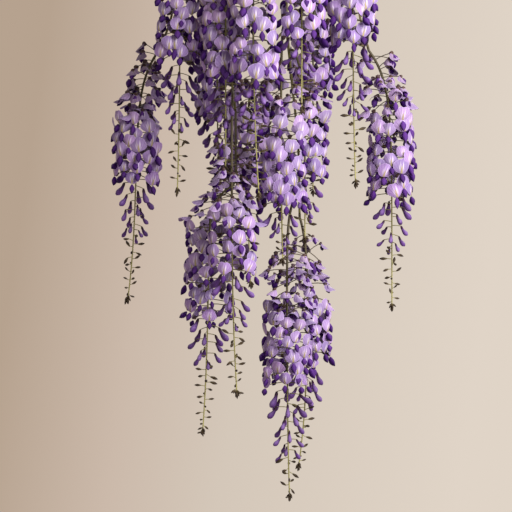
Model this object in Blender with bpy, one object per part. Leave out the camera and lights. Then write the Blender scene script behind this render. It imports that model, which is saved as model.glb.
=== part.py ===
# Wisteria in a hanging clay pot, in metres.
# +Z is up, the front faces -Y, and the origin is where the hook bears on what holds it.

import math

import bmesh
import bpy
import numpy as np
from mathutils import Matrix, Vector
from mathutils.bvhtree import BVHTree

# Driving dimensions
GAP = 0.0003  # between pieces that touch

POT_TOP = -0.300
POT_HEIGHT = 0.150
POT_TOP_RADIUS = 0.120
POT_BASE_RADIUS = 0.086
POT_WALL = 0.007
LIP_HEIGHT = 0.026
LIP_WALL = 0.010
DRAIN_RADIUS = 0.008
POT_SIDES = 24

SOIL_DROP = 0.018  # from the pot's top down to the soil's edge
SOIL_CROWN = 0.004

HOOK_RADIUS = 0.0025
HOOK_BEND = 0.014  # inner radius of the hook's curve
HUB_TOP = -0.046
HUB_HEIGHT = 0.016
HUB_RADIUS = 0.009
SHANK_DEPTH = 0.005  # of the hook and the wires in the hub
WIRE_RADIUS = 0.0012
WIRE_BOW = 0.0035  # how far the wires pass outside the lip
WIRE_ANGLES = (90, 210, 330)  # degrees round the pot, from +X
WIRE_HOLE_DROP = 0.0125  # from the pot's top down to the holes in its lip
WIRE_HOLE_PLAY = 0.0004

TRUNK_RADIUS = 0.0100
TRUNK_TOP_RADIUS = 0.0078
SHOOT_RADIUS = 0.0045
SHOOT_TIP_RADIUS = 0.0024

NECK_LENGTH = 0.004  # of a stalk, square to the wood
END_OVERLAP = 0.002  # from a shoot's end back to where a stalk is centred
RACHIS_RADIUS = 0.0017
RACHIS_TIP_RADIUS = 0.0009
STANDARD_WIDTH = 0.0255
STANDARD_HEIGHT = 0.0235
KEEL_LENGTH = 0.0135
PETAL_THICKNESS = 0.0008
PEDICEL_LENGTH = 0.0120
PEDICEL_HALF = 0.0006
CALYX_LENGTH = 0.003
CALYX_HALF = 0.0018
KEEL_HALF = 0.0030
CLUB_LENGTH = 0.0160
CLUB_RADIUS = 0.0032
TINY_LENGTH = 0.0085
TINY_RADIUS = 0.0015
FLORET_PITCH = 0.0140  # down the stalk, from one open flower to the next
BUD_PITCH = 0.0150
GOLDEN_ANGLE = 137.5
LIFTS = (-22, 5, 48, 58)  # degrees, of the standards down the zone of open flowers
LIFT_SHARES = (0, 0.3, 0.55, 1)
SMALLEST = 0.5  # share of its size below which a flower or bud is left off
FLOWER_ROOM = 0.0008  # kept free between the flowers of two racemes
SHOOT_ROOM = 0.0015  # between flowers and a shoot
POT_ROOM = 0.002  # between flowers and the pot
SEED = 7

LEAF_PAIRS = 4
LEAFLET_LENGTH = 0.044
LEAFLET_WIDTH = 0.018
RIB_WIDTH = 0.0020
LEAF_THICKNESS = 0.0008
LEAFLET_FOOT = 0.024  # share of the rib that a leaflet grows from
FIRST_PAIR, LAST_PAIR = 0.30, 0.90  # shares of the rib

# The trunk and the shoots, as the points that they grow through
TRUNK = [
    (0, 0, -0.360), (0, 0, -0.314), (0.004, -0.003, -0.298),
    (-0.004, 0.003, -0.278), (0.002, 0.001, -0.256),
]
SHOOTS = {
    "left": [
        (0, 0, -0.270), (-0.030, 0.004, -0.251), (-0.072, -0.004, -0.244),
        (-0.108, -0.012, -0.258), (-0.131, -0.012, -0.293), (-0.139, -0.018, -0.350),
        (-0.122, -0.024, -0.425), (-0.110, -0.030, -0.474), (-0.1215, -0.032, -0.519),
    ],
    "right": [
        (0, 0, -0.264), (0.028, -0.008, -0.230), (0.070, -0.010, -0.223),
        (0.108, -0.016, -0.241), (0.133, -0.022, -0.286), (0.140, -0.020, -0.350),
        (0.123, -0.026, -0.425), (0.1105, -0.030, -0.476), (0.1205, -0.032, -0.523),
    ],
    "front_left": [
        (0, 0, -0.266), (-0.018, -0.036, -0.245), (-0.044, -0.077, -0.248),
        (-0.060, -0.107, -0.266), (-0.068, -0.125, -0.302), (-0.066, -0.115, -0.355),
        (-0.058, -0.095, -0.430), (-0.047, -0.086, -0.510), (-0.0355, -0.090, -0.600),
    ],
    "front": [
        (0, 0, -0.263), (0.004, -0.034, -0.233), (0.016, -0.080, -0.227),
        (0.026, -0.116, -0.248), (0.030, -0.136, -0.296), (0.027, -0.123, -0.360),
        (0.024, -0.104, -0.430), (0.024, -0.080, -0.500), (0.030, -0.056, -0.560),
        (0.038, -0.048, -0.640), (0.0395, -0.056, -0.720),
    ],
    "front_right": [
        (0, 0, -0.270), (0.026, -0.028, -0.253), (0.054, -0.068, -0.253),
        (0.076, -0.098, -0.271), (0.088, -0.110, -0.304), (0.088, -0.108, -0.350),
    ],
    "back_left": [
        (0, 0, -0.265), (-0.024, 0.026, -0.232), (-0.052, 0.066, -0.227),
        (-0.074, 0.096, -0.253), (-0.085, 0.110, -0.300), (-0.081, 0.107, -0.370),
        (-0.072, 0.102, -0.430),
    ],
    "back_right": [
        (0, 0, -0.269), (0.022, 0.032, -0.249), (0.052, 0.068, -0.250),
        (0.076, 0.098, -0.270), (0.086, 0.111, -0.306), (0.082, 0.107, -0.375),
        (0.052, 0.100, -0.450), (0.006, 0.088, -0.512),
    ],
}

# Each raceme: the shoot and the height that it grows from (None at the shoot's end), the line
# that it hangs on, how fast its stalk gets there, and the heights where its open flowers
# begin and end, its club buds end and its tip is, with the tip's drift sideways
RACEMES = {
    "r01": ("left", None, (-0.153, -0.030), 0.035, (-0.527, -0.677, -0.745, -0.821), -0.010),
    "r02": ("front_left", -0.365, (-0.099, -0.100), 0.020, (-0.394, -0.544, -0.620, -0.695), -0.003),
    "r03": ("front_left", -0.335, (-0.046, -0.132), 0.020, (-0.390, -0.572, -0.636, -0.672), 0.0),
    "r04": ("front", -0.335, (-0.015, -0.165), 0.026, (-0.431, -0.568, -0.617, -0.703), 0.007),
    "r05": ("front_left", None, (-0.066, -0.095), 0.016, (-0.622, -0.841, -0.895, -0.972), -0.007),
    "r06": ("front_left", -0.580, (-0.039, -0.137), 0.020, (-0.648, -0.785, -0.848, -0.926), 0.006),
    "r07": ("front", -0.305, (0.040, -0.152), 0.018, (-0.342, -0.520, -0.560, -0.605), 0.0),
    "r08": ("front", -0.490, (0.017, -0.122), 0.025, (-0.540, -0.711, -0.745, -0.776), 0.002),
    "r09": ("front", -0.530, (0.045, -0.088), 0.025, (-0.552, -0.676, -0.722, -0.751), 0.0),
    "r10": ("front", -0.695, (0.024, -0.105), 0.020, (-0.746, -0.917, -0.998, -1.046), 0.003),
    "r11": ("front", None, (0.049, -0.065), 0.030, (-0.742, -0.896, -0.943, -1.015), -0.011),
    "r12": ("front_right", None, (0.100, -0.100), 0.030, (-0.374, -0.523, -0.604, -0.687), 0.003),
    "r13": ("right", None, (0.149, -0.030), 0.035, (-0.533, -0.697, -0.759, -0.830), 0.0),
    "r14": ("back_left", None, (-0.060, 0.122), 0.025, (-0.452, -0.600, -0.650, -0.712), 0.004),
    "r15": ("back_right", -0.400, (0.060, 0.138), 0.025, (-0.430, -0.560, -0.615, -0.690), 0.0),
    "r16": ("back_right", None, (-0.022, 0.078), 0.025, (-0.530, -0.680, -0.735, -0.805), 0.004),
    "r17": ("back_left", -0.285, (-0.128, 0.085), 0.020, (-0.315, -0.396, -0.422, -0.448), -0.004),
    "r18": ("back_right", -0.290, (0.130, 0.085), 0.020, (-0.322, -0.398, -0.424, -0.448), 0.004),
    "r19": ("left", -0.268, (-0.171, -0.020), 0.020, (-0.296, -0.395, -0.428, -0.456), -0.003),
    "r20": ("right", -0.262, (0.173, -0.010), 0.020, (-0.290, -0.390, -0.425, -0.455), 0.003),
}
HANGS = {"r05": 0.082}  # how far a stalk hangs straight before it swings to its line
ZONE_REACH = (0.003, 0.031, 0.025, 0.013)  # stalk, open flowers, club buds, tip buds
DEPTHS = (0, 0.03, 0.07, 0.13, 0.22, 0.38, 0.55, 0.72, 0.87, 1)  # shares of a stalk's drop

# Each leaf: the shoot that it grows from, how far along, its direction in degrees, its length,
# how high it rises and how far its end hangs down
LEAVES = {
    "leaf_1": ("right", 0.15, 4, 0.150, 0.045, 0.065),
    "leaf_2": ("back_right", 0.15, 50, 0.140, 0.050, 0.050),
    "leaf_3": ("back_left", 0.13, 126, 0.150, 0.050, 0.075),
    "leaf_4": ("left", 0.17, 180, 0.150, 0.052, 0.060),
    "leaf_5": ("front_left", 0.10, 242, 0.130, 0.056, 0.055),
    "leaf_6": ("front", 0.10, 290, 0.140, 0.045, 0.070),
    "leaf_7": ("left", 0.07, 156, 0.100, 0.110, 0.030),
    "leaf_8": ("right", 0.06, 24, 0.105, 0.100, 0.035),
    "leaf_9": ("front", 0.045, 264, 0.100, 0.115, 0.035),
}

COLOURS = {
    "clay": ((0.47, 0.20, 0.11), 0.85, 0.0),
    "soil": ((0.045, 0.030, 0.020), 0.95, 0.0),
    "steel": ((0.42, 0.42, 0.43), 0.35, 1.0),
    "wood": ((0.16, 0.12, 0.08), 0.80, 0.0),
    "leaf": ((0.13, 0.24, 0.05), 0.50, 0.0),
    "petal": ((0.33, 0.21, 0.58), 0.55, 0.0),
}


def clear_scene():
    """Removes what the scene holds at the start."""
    for old in list(bpy.data.objects):
        bpy.data.objects.remove(old, do_unlink=True)


def material(name):
    """The Principled material of a kind, made once."""
    found = bpy.data.materials.get(name)
    if found:
        return found
    colour, roughness, metallic = COLOURS[name]
    made = bpy.data.materials.new(name)
    made.use_nodes = True
    shader = made.node_tree.nodes["Principled BSDF"]
    shader.inputs["Base Color"].default_value = (*colour, 1)
    shader.inputs["Roughness"].default_value = roughness
    shader.inputs["Metallic"].default_value = metallic
    return made


def add(name, bm, kind, smooth=False):
    """Puts a bmesh into the scene as a named object, with its faces pointing out."""
    bmesh.ops.recalc_face_normals(bm, faces=bm.faces)
    mesh = bpy.data.meshes.new(name)
    bm.to_mesh(mesh)
    bm.free()
    if smooth:
        mesh.shade_smooth()
    mesh.materials.append(material(kind))
    made = bpy.data.objects.new(name, mesh)
    bpy.context.collection.objects.link(made)
    return made


def turned(profile, sides):
    """A closed outline of (radius, height) points, spun round the Z axis."""
    bm = bmesh.new()
    ring = [bm.verts.new((r, 0, z)) for r, z in profile]
    edges = [bm.edges.new((a, b)) for a, b in zip(ring, ring[1:] + ring[:1])]
    on_axis = [e for e in edges if all(v.co.x < 1e-6 for v in e.verts)]
    turning = [e for e in edges if e not in on_axis]
    bmesh.ops.delete(bm, geom=on_axis, context="EDGES")
    bmesh.ops.spin(
        bm, geom=ring + turning, axis=(0, 0, 1), cent=(0, 0, 0),
        angle=math.tau, steps=sides, use_merge=True, use_duplicate=False,
    )
    bmesh.ops.remove_doubles(bm, verts=bm.verts, dist=1e-5)
    return bm


def smooth_route(points, steps):
    """Points along a Catmull-Rom curve through the given ones, steps to each stretch."""
    p = np.array(points, float)
    p = np.vstack([2 * p[0] - p[1], p, 2 * p[-1] - p[-2]])
    t = np.linspace(0, 1, steps, endpoint=False)[:, None]
    runs = []
    for a, b, c, d in zip(p, p[1:], p[2:], p[3:]):
        runs.append(
            b + 0.5 * t * (c - a) + t**2 * (a - 2.5 * b + 2 * c - 0.5 * d)
            + t**3 * (1.5 * (b - c) + 0.5 * (d - a))
        )
    return np.vstack([*runs, p[-2:-1]])


def limb(route, radii, sides, pointed=False):
    """A tube along a route, with flat ends, or with its last point as a tip."""
    route = [Vector(p) for p in route]
    bm = bmesh.new()
    rings = []
    side = Vector((1, 0, 0))
    for i, (p, r) in enumerate(zip(route, map(float, radii))):
        ahead = (route[min(i + 1, len(route) - 1)] - route[max(i - 1, 0)]).normalized()
        if i == 0 and abs(ahead.x) > 0.9:
            side = Vector((0, 1, 0))
        side = (side - ahead * side.dot(ahead)).normalized()
        up = ahead.cross(side)
        if pointed and i == len(route) - 1:
            rings.append([bm.verts.new(p)] * sides)
            continue
        turns = [math.tau * k / sides for k in range(sides)]
        rings.append([bm.verts.new(p + r * (math.cos(a) * side + math.sin(a) * up)) for a in turns])
    for low, high in zip(rings, rings[1:]):
        for k in range(sides):
            j = (k + 1) % sides
            corners = [low[k], low[j], high[j], high[k]]
            bm.faces.new(list(dict.fromkeys(corners)))
    bm.faces.new(rings[0])
    if not pointed:
        bm.faces.new(rings[-1])
    return bm


def boolean(target, operation, cutter=None, collection=None, solver="EXACT"):
    """Applies one Boolean to an object and removes what it was made with."""
    step = target.modifiers.new("boolean", "BOOLEAN")
    step.operation = operation
    step.solver = solver
    if collection:
        step.operand_type = "COLLECTION"
        step.collection = collection
    else:
        step.object = cutter
    shape = target.evaluated_get(bpy.context.evaluated_depsgraph_get())
    mesh = bpy.data.meshes.new_from_object(shape)
    target.modifiers.clear()
    target.data = mesh
    for used in list(collection.objects) if collection else [cutter]:
        bpy.data.objects.remove(used, do_unlink=True)
    if collection:
        bpy.data.collections.remove(collection)


def keep_main_body(target):
    """Drops loose scraps and fills sealed hollows: only the largest shell stays."""
    bm = bmesh.new()
    bm.from_mesh(target.data)
    left = set(bm.verts)
    shells = []
    while left:
        shell, todo = set(), [left.pop()]
        while todo:
            v = todo.pop()
            shell.add(v)
            near = {e.other_vert(v) for e in v.link_edges} & left
            left -= near
            todo.extend(near)
        shells.append(shell)
    largest = max(shells, key=len)
    bmesh.ops.delete(bm, geom=[v for v in bm.verts if v not in largest], context="VERTS")
    bm.to_mesh(target.data)
    bm.free()


def fuse(core, pieces):
    """Joins meshes that grow out of a core into it, as one body."""
    growing = bpy.data.collections.new("growing")
    bpy.context.scene.collection.children.link(growing)
    for bm in pieces:
        mesh = bpy.data.meshes.new("piece")
        bmesh.ops.recalc_face_normals(bm, faces=bm.faces)
        bm.to_mesh(mesh)
        bm.free()
        growing.objects.link(bpy.data.objects.new("piece", mesh))
    boolean(core, "UNION", collection=growing, solver="MANIFOLD")
    keep_main_body(core)


def mesh_of(points, faces):
    """A bmesh from points and faces."""
    bm = bmesh.new()
    verts = [bm.verts.new(p) for p in points]
    for face in faces:
        bm.faces.new([verts[k] for k in face])
    return bm


def pot_radius(z):
    """The pot's outer radius at a height, below its lip."""
    share = (POT_TOP - z) / POT_HEIGHT
    top = POT_TOP_RADIUS - (LIP_WALL - POT_WALL)
    return top + (POT_BASE_RADIUS - top) * share


def inner_radius(z):
    """The pot's inner radius at a height, on the slope from its lip to its floor."""
    floor = POT_TOP - POT_HEIGHT + POT_WALL
    share = (POT_TOP - z) / (POT_TOP - floor)
    top = POT_TOP_RADIUS - LIP_WALL
    return top + (pot_radius(floor) - POT_WALL - top) * share


def polar(radius, degrees, z):
    """The point at a radius, an angle from +X and a height."""
    a = math.radians(degrees)
    return Vector((radius * math.cos(a), radius * math.sin(a), z))


def make_pot():
    """A tapered clay pot with a thick lip, a drain hole and three holes for the wires."""
    bottom = POT_TOP - POT_HEIGHT
    floor = bottom + POT_WALL
    lip = POT_TOP - LIP_HEIGHT
    profile = [
        (DRAIN_RADIUS, bottom), (POT_BASE_RADIUS, bottom), (pot_radius(lip), lip),
        (POT_TOP_RADIUS, lip), (POT_TOP_RADIUS, POT_TOP),
        (POT_TOP_RADIUS - LIP_WALL, POT_TOP), (pot_radius(floor) - POT_WALL, floor),
        (DRAIN_RADIUS, floor),
    ]
    pot = add("pot", turned(profile, POT_SIDES), "clay")
    for angle in WIRE_ANGLES:
        bm = bmesh.new()
        bmesh.ops.create_cone(
            bm, cap_ends=True, segments=10, depth=3 * LIP_WALL,
            radius1=WIRE_RADIUS + WIRE_HOLE_PLAY, radius2=WIRE_RADIUS + WIRE_HOLE_PLAY,
        )
        turn = Matrix.Rotation(math.radians(angle), 4, "Z") @ Matrix.Rotation(math.pi / 2, 4, "Y")
        place = Matrix.Translation(polar(POT_TOP_RADIUS - LIP_WALL / 2, angle, POT_TOP - WIRE_HOLE_DROP))
        bm.transform(place @ turn)
        boolean(pot, "DIFFERENCE", cutter=add("hole", bm, "clay"))


def make_soil():
    """The pot's filling, with a low crown and a plain hole for the trunk."""
    edge = POT_TOP - SOIL_DROP
    floor = POT_TOP - POT_HEIGHT + POT_WALL + GAP
    hole = (TRUNK_RADIUS + GAP) / math.cos(math.pi / POT_SIDES)
    profile = [
        (0, floor), (inner_radius(floor) - GAP, floor), (inner_radius(edge) - GAP, edge),
        (inner_radius(edge) / 2, edge + SOIL_CROWN), (hole, edge + SOIL_CROWN),
        (hole, TRUNK[0][2] - GAP), (0, TRUNK[0][2] - GAP),
    ]
    add("soil", turned(profile, POT_SIDES), "soil")


def wire_route():
    """A hanger wire as (radius, height): from the hub straight to the lip, in and up."""
    hole = POT_TOP - WIRE_HOLE_DROP
    outside = POT_TOP_RADIUS + WIRE_BOW
    inside = inner_radius(hole) - WIRE_RADIUS - GAP - 0.0006
    return [
        (0.0040, HUB_TOP - HUB_HEIGHT + 0.006), (outside, POT_TOP + 0.002),
        (outside + 0.0004, POT_TOP - 0.004), (outside - 0.0004, hole + 0.0022),
        (POT_TOP_RADIUS + 0.0006, hole), (inside + 0.0016, hole),
        (inside, hole + 0.0018), (inside - 0.0004, hole + 0.0095),
    ]


def make_hanger():
    """Hook, hub and three stiff wires."""
    bottom = HUB_TOP - HUB_HEIGHT
    profile = [
        (0, bottom), (HUB_RADIUS * 0.8, bottom), (HUB_RADIUS, bottom + 0.002),
        (HUB_RADIUS, HUB_TOP - 0.005), (HUB_RADIUS * 0.55, HUB_TOP), (0, HUB_TOP),
    ]
    hub = add("hanger_hub", turned(profile, 12), "steel")
    route = wire_route()
    (r0, z0), (r1, z1) = route[:2]
    for number, angle in enumerate(WIRE_ANGLES, 1):
        path = [polar(r, angle, z) for r, z in route]
        down = (path[1] - path[0]).normalized()
        seat = [path[0] - down * GAP, path[0] + down * 0.030]
        width = WIRE_RADIUS + GAP / math.cos(math.pi / 6)
        boolean(hub, "DIFFERENCE", cutter=add("seat", limb(seat, [width] * 2, 6), "steel"))
        add(f"hanger_wire_{number}", limb(path, [WIRE_RADIUS] * len(path), 6), "steel", True)
    shank_end = HUB_TOP - SHANK_DEPTH
    width = HOOK_RADIUS + GAP / math.cos(math.pi / 8)
    seat = [(0, 0, shank_end - GAP), (0, 0, HUB_TOP + SHANK_DEPTH)]
    boolean(hub, "DIFFERENCE", cutter=add("seat", limb(seat, [width] * 2, 8), "steel"))
    bend = HOOK_BEND + HOOK_RADIUS
    arc = [math.radians(a) for a in range(-60, 221, 28)]
    path = [(0, 0, shank_end), (0, 0, HUB_TOP + 0.001), (0.0022, 0, -bend * 2.25)]
    path += [(bend * math.cos(a), 0, bend * math.sin(a) - HOOK_BEND) for a in arc]
    add("hanger_hook", limb(path, [HOOK_RADIUS] * len(path), 8), "steel", True)


def shoot_line(points):
    """The centre line of a shoot."""
    return smooth_route(points, 2)


def make_wood():
    """The trunk with its shoots, which grew as one piece."""
    path = smooth_route(TRUNK, 2)
    radii = np.interp(path[:, 2], [POT_TOP, TRUNK[-1][2]], [TRUNK_RADIUS, TRUNK_TOP_RADIUS])
    trunk = add("vine_wood", limb(path, radii, 8), "wood", True)
    shoots = []
    for points in SHOOTS.values():
        path = shoot_line(points)
        radii = np.linspace(SHOOT_RADIUS, SHOOT_TIP_RADIUS, len(path))
        shoots.append(limb(path, radii, 5))
    fuse(trunk, shoots)
    return trunk


def point_at(path, z=None, share=None):
    """The point of a line at a height on its way down, or at a share of its length."""
    if share is not None:
        steps = np.linalg.norm(np.diff(path, axis=0), axis=1)
        along = np.concatenate([[0], np.cumsum(steps)])
        return np.array([np.interp(share * along[-1], along, c) for c in path.T])
    top = int(np.argmax(path[:, 2]))
    falling = path[top:][::-1]
    return np.array([np.interp(z, falling[:, 2], c) for c in falling.T])


def seat_on(wood, centre, direction):
    """Where something that grows out in a direction meets the wood, and the wood's normal."""
    direction = Vector(direction).normalized()
    hit, normal, *_ = wood.ray_cast(Vector(centre) + direction * 2 * SHOOT_RADIUS, -direction)
    return hit + normal * GAP, normal


def raceme_line(name, wood):
    """The stalk's centre line. It leaves the wood at right angles, and its distance from the
    line that it hangs on shrinks by the same share with each step down."""
    shoot, height, plumb, shoulder, zones, drift = RACEMES[name]
    path = shoot_line(SHOOTS[shoot])
    if height is None:
        centre, out = path[-1], path[-1] - path[-2]
        centre = centre - out / np.linalg.norm(out) * END_OVERLAP
    else:
        centre = point_at(path, z=height)
        out = np.array([plumb[0] - centre[0], plumb[1] - centre[1], 0])
    start, normal = seat_on(wood, centre, out)
    first = start + normal * NECK_LENGTH
    drop = first.z - zones[3]
    hang = HANGS.get(name, 0)
    depth = hang + (drop - hang) * np.array(DEPTHS)
    depth = np.insert(depth, 0, 0) if hang else depth
    away = np.exp(-np.maximum(depth - hang, 0) / shoulder)[:, None]
    below = np.array(plumb)
    xy = below + (np.array(first.xy) - below) * away
    xy[:, 0] += drift * (depth / drop) ** 4
    return np.vstack([np.array(start), np.column_stack([xy, first.z - depth])])


def reach_at(zones, z):
    """How far a raceme spreads from its stalk at a height."""
    limits = (1.0, *zones[:3])
    return ZONE_REACH[sum(z < limit for limit in limits) - 1]


def claims(name, own, zones, root, lines):
    """Planes that a raceme's flowers at a height stay behind, as (direction, distance), for
    the racemes, the shoots and the pot round it."""
    found = []
    for z in root[2] + np.array([-0.024, -0.012, 0, 0.012, 0.024]):
        mine = reach_at(zones, z)
        for other, path in lines.items():
            if other == name or not path[-1, 2] <= z <= path[1:, 2].max():
                continue
            centre = point_at(path, z=z)[:2]
            away = centre - root[:2]
            apart = np.linalg.norm(away)
            if other in RACEMES:
                theirs = reach_at(RACEMES[other][4], z)
                limit = apart * mine / (mine + theirs) - FLOWER_ROOM
            else:
                limit = apart - SHOOT_RADIUS - SHOOT_ROOM
            found.append((away / apart, limit))
        if z > POT_TOP - POT_HEIGHT - 0.004:
            apart = np.linalg.norm(root[:2])
            widest = POT_TOP_RADIUS if z > POT_TOP - LIP_HEIGHT - 0.004 else pot_radius(z)
            found.append((-root[:2] / apart, apart - widest - POT_ROOM))
    return found or [(np.array([1.0, 0.0]), math.inf)]


def radial_frame(root, azimuth):
    """Matrix from (out, side, up) at a root on the stalk to world axes."""
    a = math.radians(azimuth)
    turn = Matrix.Rotation(a, 4, "Z")
    return Matrix.Translation(Vector(root)) @ turn


def floret_points(size, lift):
    """An open flower in (out, side, up): pedicel, calyx, broad standard raised by lift
    degrees, and the keel that hangs below. Each of the three grows from one side of the
    calyx, a small three-sided prism."""
    rim, high = PETAL_THICKNESS / 2, 0.9 * CALYX_HALF
    long = PEDICEL_LENGTH * size
    top, front, low = (long, high), (long + CALYX_LENGTH, 0.0), (long, -high)
    calyx = [(o, s * CALYX_HALF, u) for o, u in (top, front, low) for s in (-1, 1)]
    root = [(0, s * PEDICEL_HALF, u) for u in (PEDICEL_HALF, -PEDICEL_HALF) for s in (-1, 1)]
    e = math.radians(lift)
    ahead, normal = (math.cos(e), math.sin(e)), (-math.sin(e), math.cos(e))
    base = (long + CALYX_LENGTH / 2, 0.0008)
    blade = []
    for side in (1, -1):
        for share, wide in ((0.46, 0.5), (1.0, 0.24)):
            reach = STANDARD_HEIGHT * size * share
            back = side * rim - (0.10 * reach if share == 1 else 0)
            o = base[0] + ahead[0] * reach + normal[0] * back
            u = base[1] + ahead[1] * reach + normal[1] * back
            blade += [(o, s * wide * STANDARD_WIDTH * size, u) for s in (-1, 1)]
    k = math.radians(-78 + 0.25 * lift)
    ahead, normal = (math.cos(k), math.sin(k)), (-math.sin(k), math.cos(k))
    keel, below = [], -0.0008
    wide, long = KEEL_HALF * size, KEEL_LENGTH * size
    for side in (1, -1):
        o = base[0] + ahead[0] * 0.55 * long + normal[0] * side * wide
        u = below + ahead[1] * 0.55 * long + normal[1] * side * wide
        keel += [(o, s * wide, u) for s in (-1, 1)]
    tip = (base[0] + ahead[0] * long, 0, below + ahead[1] * long)
    return root + calyx + blade + keel + [tip]


def floret_faces():
    """Faces over floret_points: pairs of points stand for the left and right side."""
    def band(*pairs):
        return [(a, a + 1, b + 1, b) for a, b in zip(pairs, pairs[1:])]
    root_top, root_low, top, front, low = 0, 2, 4, 6, 8
    back_wide, back_tip, face_wide, face_tip = 10, 12, 14, 16
    keel_front, keel_back, tip = 18, 20, 22
    faces = band(root_low, root_top, top, back_wide, back_tip, face_tip, face_wide, front)
    faces += band(front, keel_front) + band(keel_back, low, root_low)
    faces += [(keel_front, keel_front + 1, tip), (keel_back + 1, keel_back, tip)]
    for s in (0, 1):
        faces += [
            (root_top + s, root_low + s, low + s, top + s),
            (top + s, front + s, face_wide + s, back_wide + s),
            (back_wide + s, face_wide + s, face_tip + s, back_tip + s),
            (top + s, low + s, front + s),
            (front + s, low + s, keel_back + s, keel_front + s),
            (keel_front + s, keel_back + s, tip),
        ]
    return faces


def club_points(size, droop, share):
    """A club bud in (out, side, up): three-sided pedicel, calyx, thick end and tip. The buds
    are smaller by their share of the way down."""
    size *= 1 - 0.35 * share
    long = PEDICEL_LENGTH * 1.05 * size
    k = math.radians(droop)
    points = []
    rings = (0, PEDICEL_HALF, 0), (0, 0.0010, 1), (0.62, CLUB_RADIUS, 1)
    for reach, radius, bend in rings:
        out, up = math.cos(k), math.sin(k)
        centre = (long * bend + out * reach * CLUB_LENGTH * size, up * reach * CLUB_LENGTH * size)
        across = (-up, out) if reach else (0, 1)
        for turn in (90, 210, 330):
            a = math.radians(turn)
            side, high = radius * math.cos(a), radius * math.sin(a)
            points.append((centre[0] + across[0] * high, side, centre[1] + across[1] * high))
    points.append((long + math.cos(k) * CLUB_LENGTH * size, 0, math.sin(k) * CLUB_LENGTH * size))
    return points


def tiny_points(size, droop):
    """A tip bud in (out, side, up): three-sided pedicel that thickens into a spindle."""
    long = PEDICEL_LENGTH * 0.5 * size
    k = math.radians(droop)
    points = []
    rings = (0, 0.4 * TINY_RADIUS), (long + 0.45 * TINY_LENGTH * size, TINY_RADIUS)
    for reach, radius in rings:
        for turn in (90, 210, 330):
            a = math.radians(turn)
            points.append((reach, radius * math.cos(a), reach * math.sin(k) + radius * math.sin(a)))
    end = long + TINY_LENGTH * size
    points.append((end, 0, end * math.sin(k)))
    return points


def spindle_faces(rings):
    """Faces over three-sided rings that end in one tip."""
    faces = [(0, 1, 2)]
    for r in range(0, 3 * (rings - 1), 3):
        faces += [(r + k, r + (k + 1) % 3, r + 3 + (k + 1) % 3, r + 3 + k) for k in range(3)]
    last = 3 * (rings - 1)
    faces += [(last + k, last + (k + 1) % 3, last + 3) for k in range(3)]
    return faces


def grow(shape, faces, root, azimuth, planes, *form):
    """One flower or bud, turned aside and made smaller where a neighbour needs the room.
    Nothing grows where less than the smallest size would fit."""
    directions = np.array([d for d, _ in planes]).T
    limits = np.array([limit for _, limit in planes])
    best, chosen = 0, None
    for aside in (0, -22, 22, -44, 44):
        frame = radial_frame(root, azimuth + aside)
        size = 1.0
        while size >= SMALLEST:
            points = [frame @ Vector(p) for p in shape(size, *form)]
            flat = np.array([p.xy for p in points]) - root[:2]
            reach = (flat @ directions).max(axis=0)
            over = reach > limits
            if not over.any():
                break
            size *= 0.98 * max((limits / reach)[over].min(), 0)
        score = size - 0.004 * abs(aside)
        if size >= SMALLEST and score > best:
            best, chosen = score, points
    return None if chosen is None else mesh_of(chosen, faces)


def make_raceme(name, lines):
    """One hanging raceme: a stalk with open flowers, then club buds, then tip buds."""
    zones = RACEMES[name][4]
    path = lines[name]
    draw = np.random.default_rng(SEED + int(name[1:]))
    radii = np.linspace(RACHIS_RADIUS, RACHIS_TIP_RADIUS, len(path))
    end = path[-1] + (path[-1] - path[-2]) / np.linalg.norm(path[-1] - path[-2]) * 0.006
    stalk = limb(np.vstack([path, end]), [*radii, 0], 4, pointed=True)
    core = add(name.replace("r", "raceme_"), stalk, "petal")
    pieces = []
    azimuth = draw.uniform(0, 360)
    plan = (
        (zones[0], zones[1], FLORET_PITCH), (zones[1], zones[2], BUD_PITCH),
        (zones[2], zones[3] + 0.004, BUD_PITCH),
    )
    for zone, (high, low, pitch) in enumerate(plan):
        count = max(2, round((high - low) / pitch))
        for k in range(count):
            share = (k + 0.5) / count
            root = point_at(path, z=high + (low - high) * share)
            planes = claims(name, path, zones, root, lines)
            azimuth += GOLDEN_ANGLE + draw.uniform(-12, 12)
            if zone == 0:
                form = [np.interp(share, LIFT_SHARES, LIFTS) + draw.uniform(-8, 8)]
                shape, faces = floret_points, floret_faces()
            elif zone == 1:
                form = [-58 + draw.uniform(-8, 8), share]
                shape, faces = club_points, spindle_faces(3)
            else:
                form = [draw.uniform(-25, 20)]
                shape, faces = tiny_points, spindle_faces(2)
            bm = grow(shape, faces, root, azimuth, planes, *form)
            if bm:
                pieces.append(bm)
    fuse(core, pieces)


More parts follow.
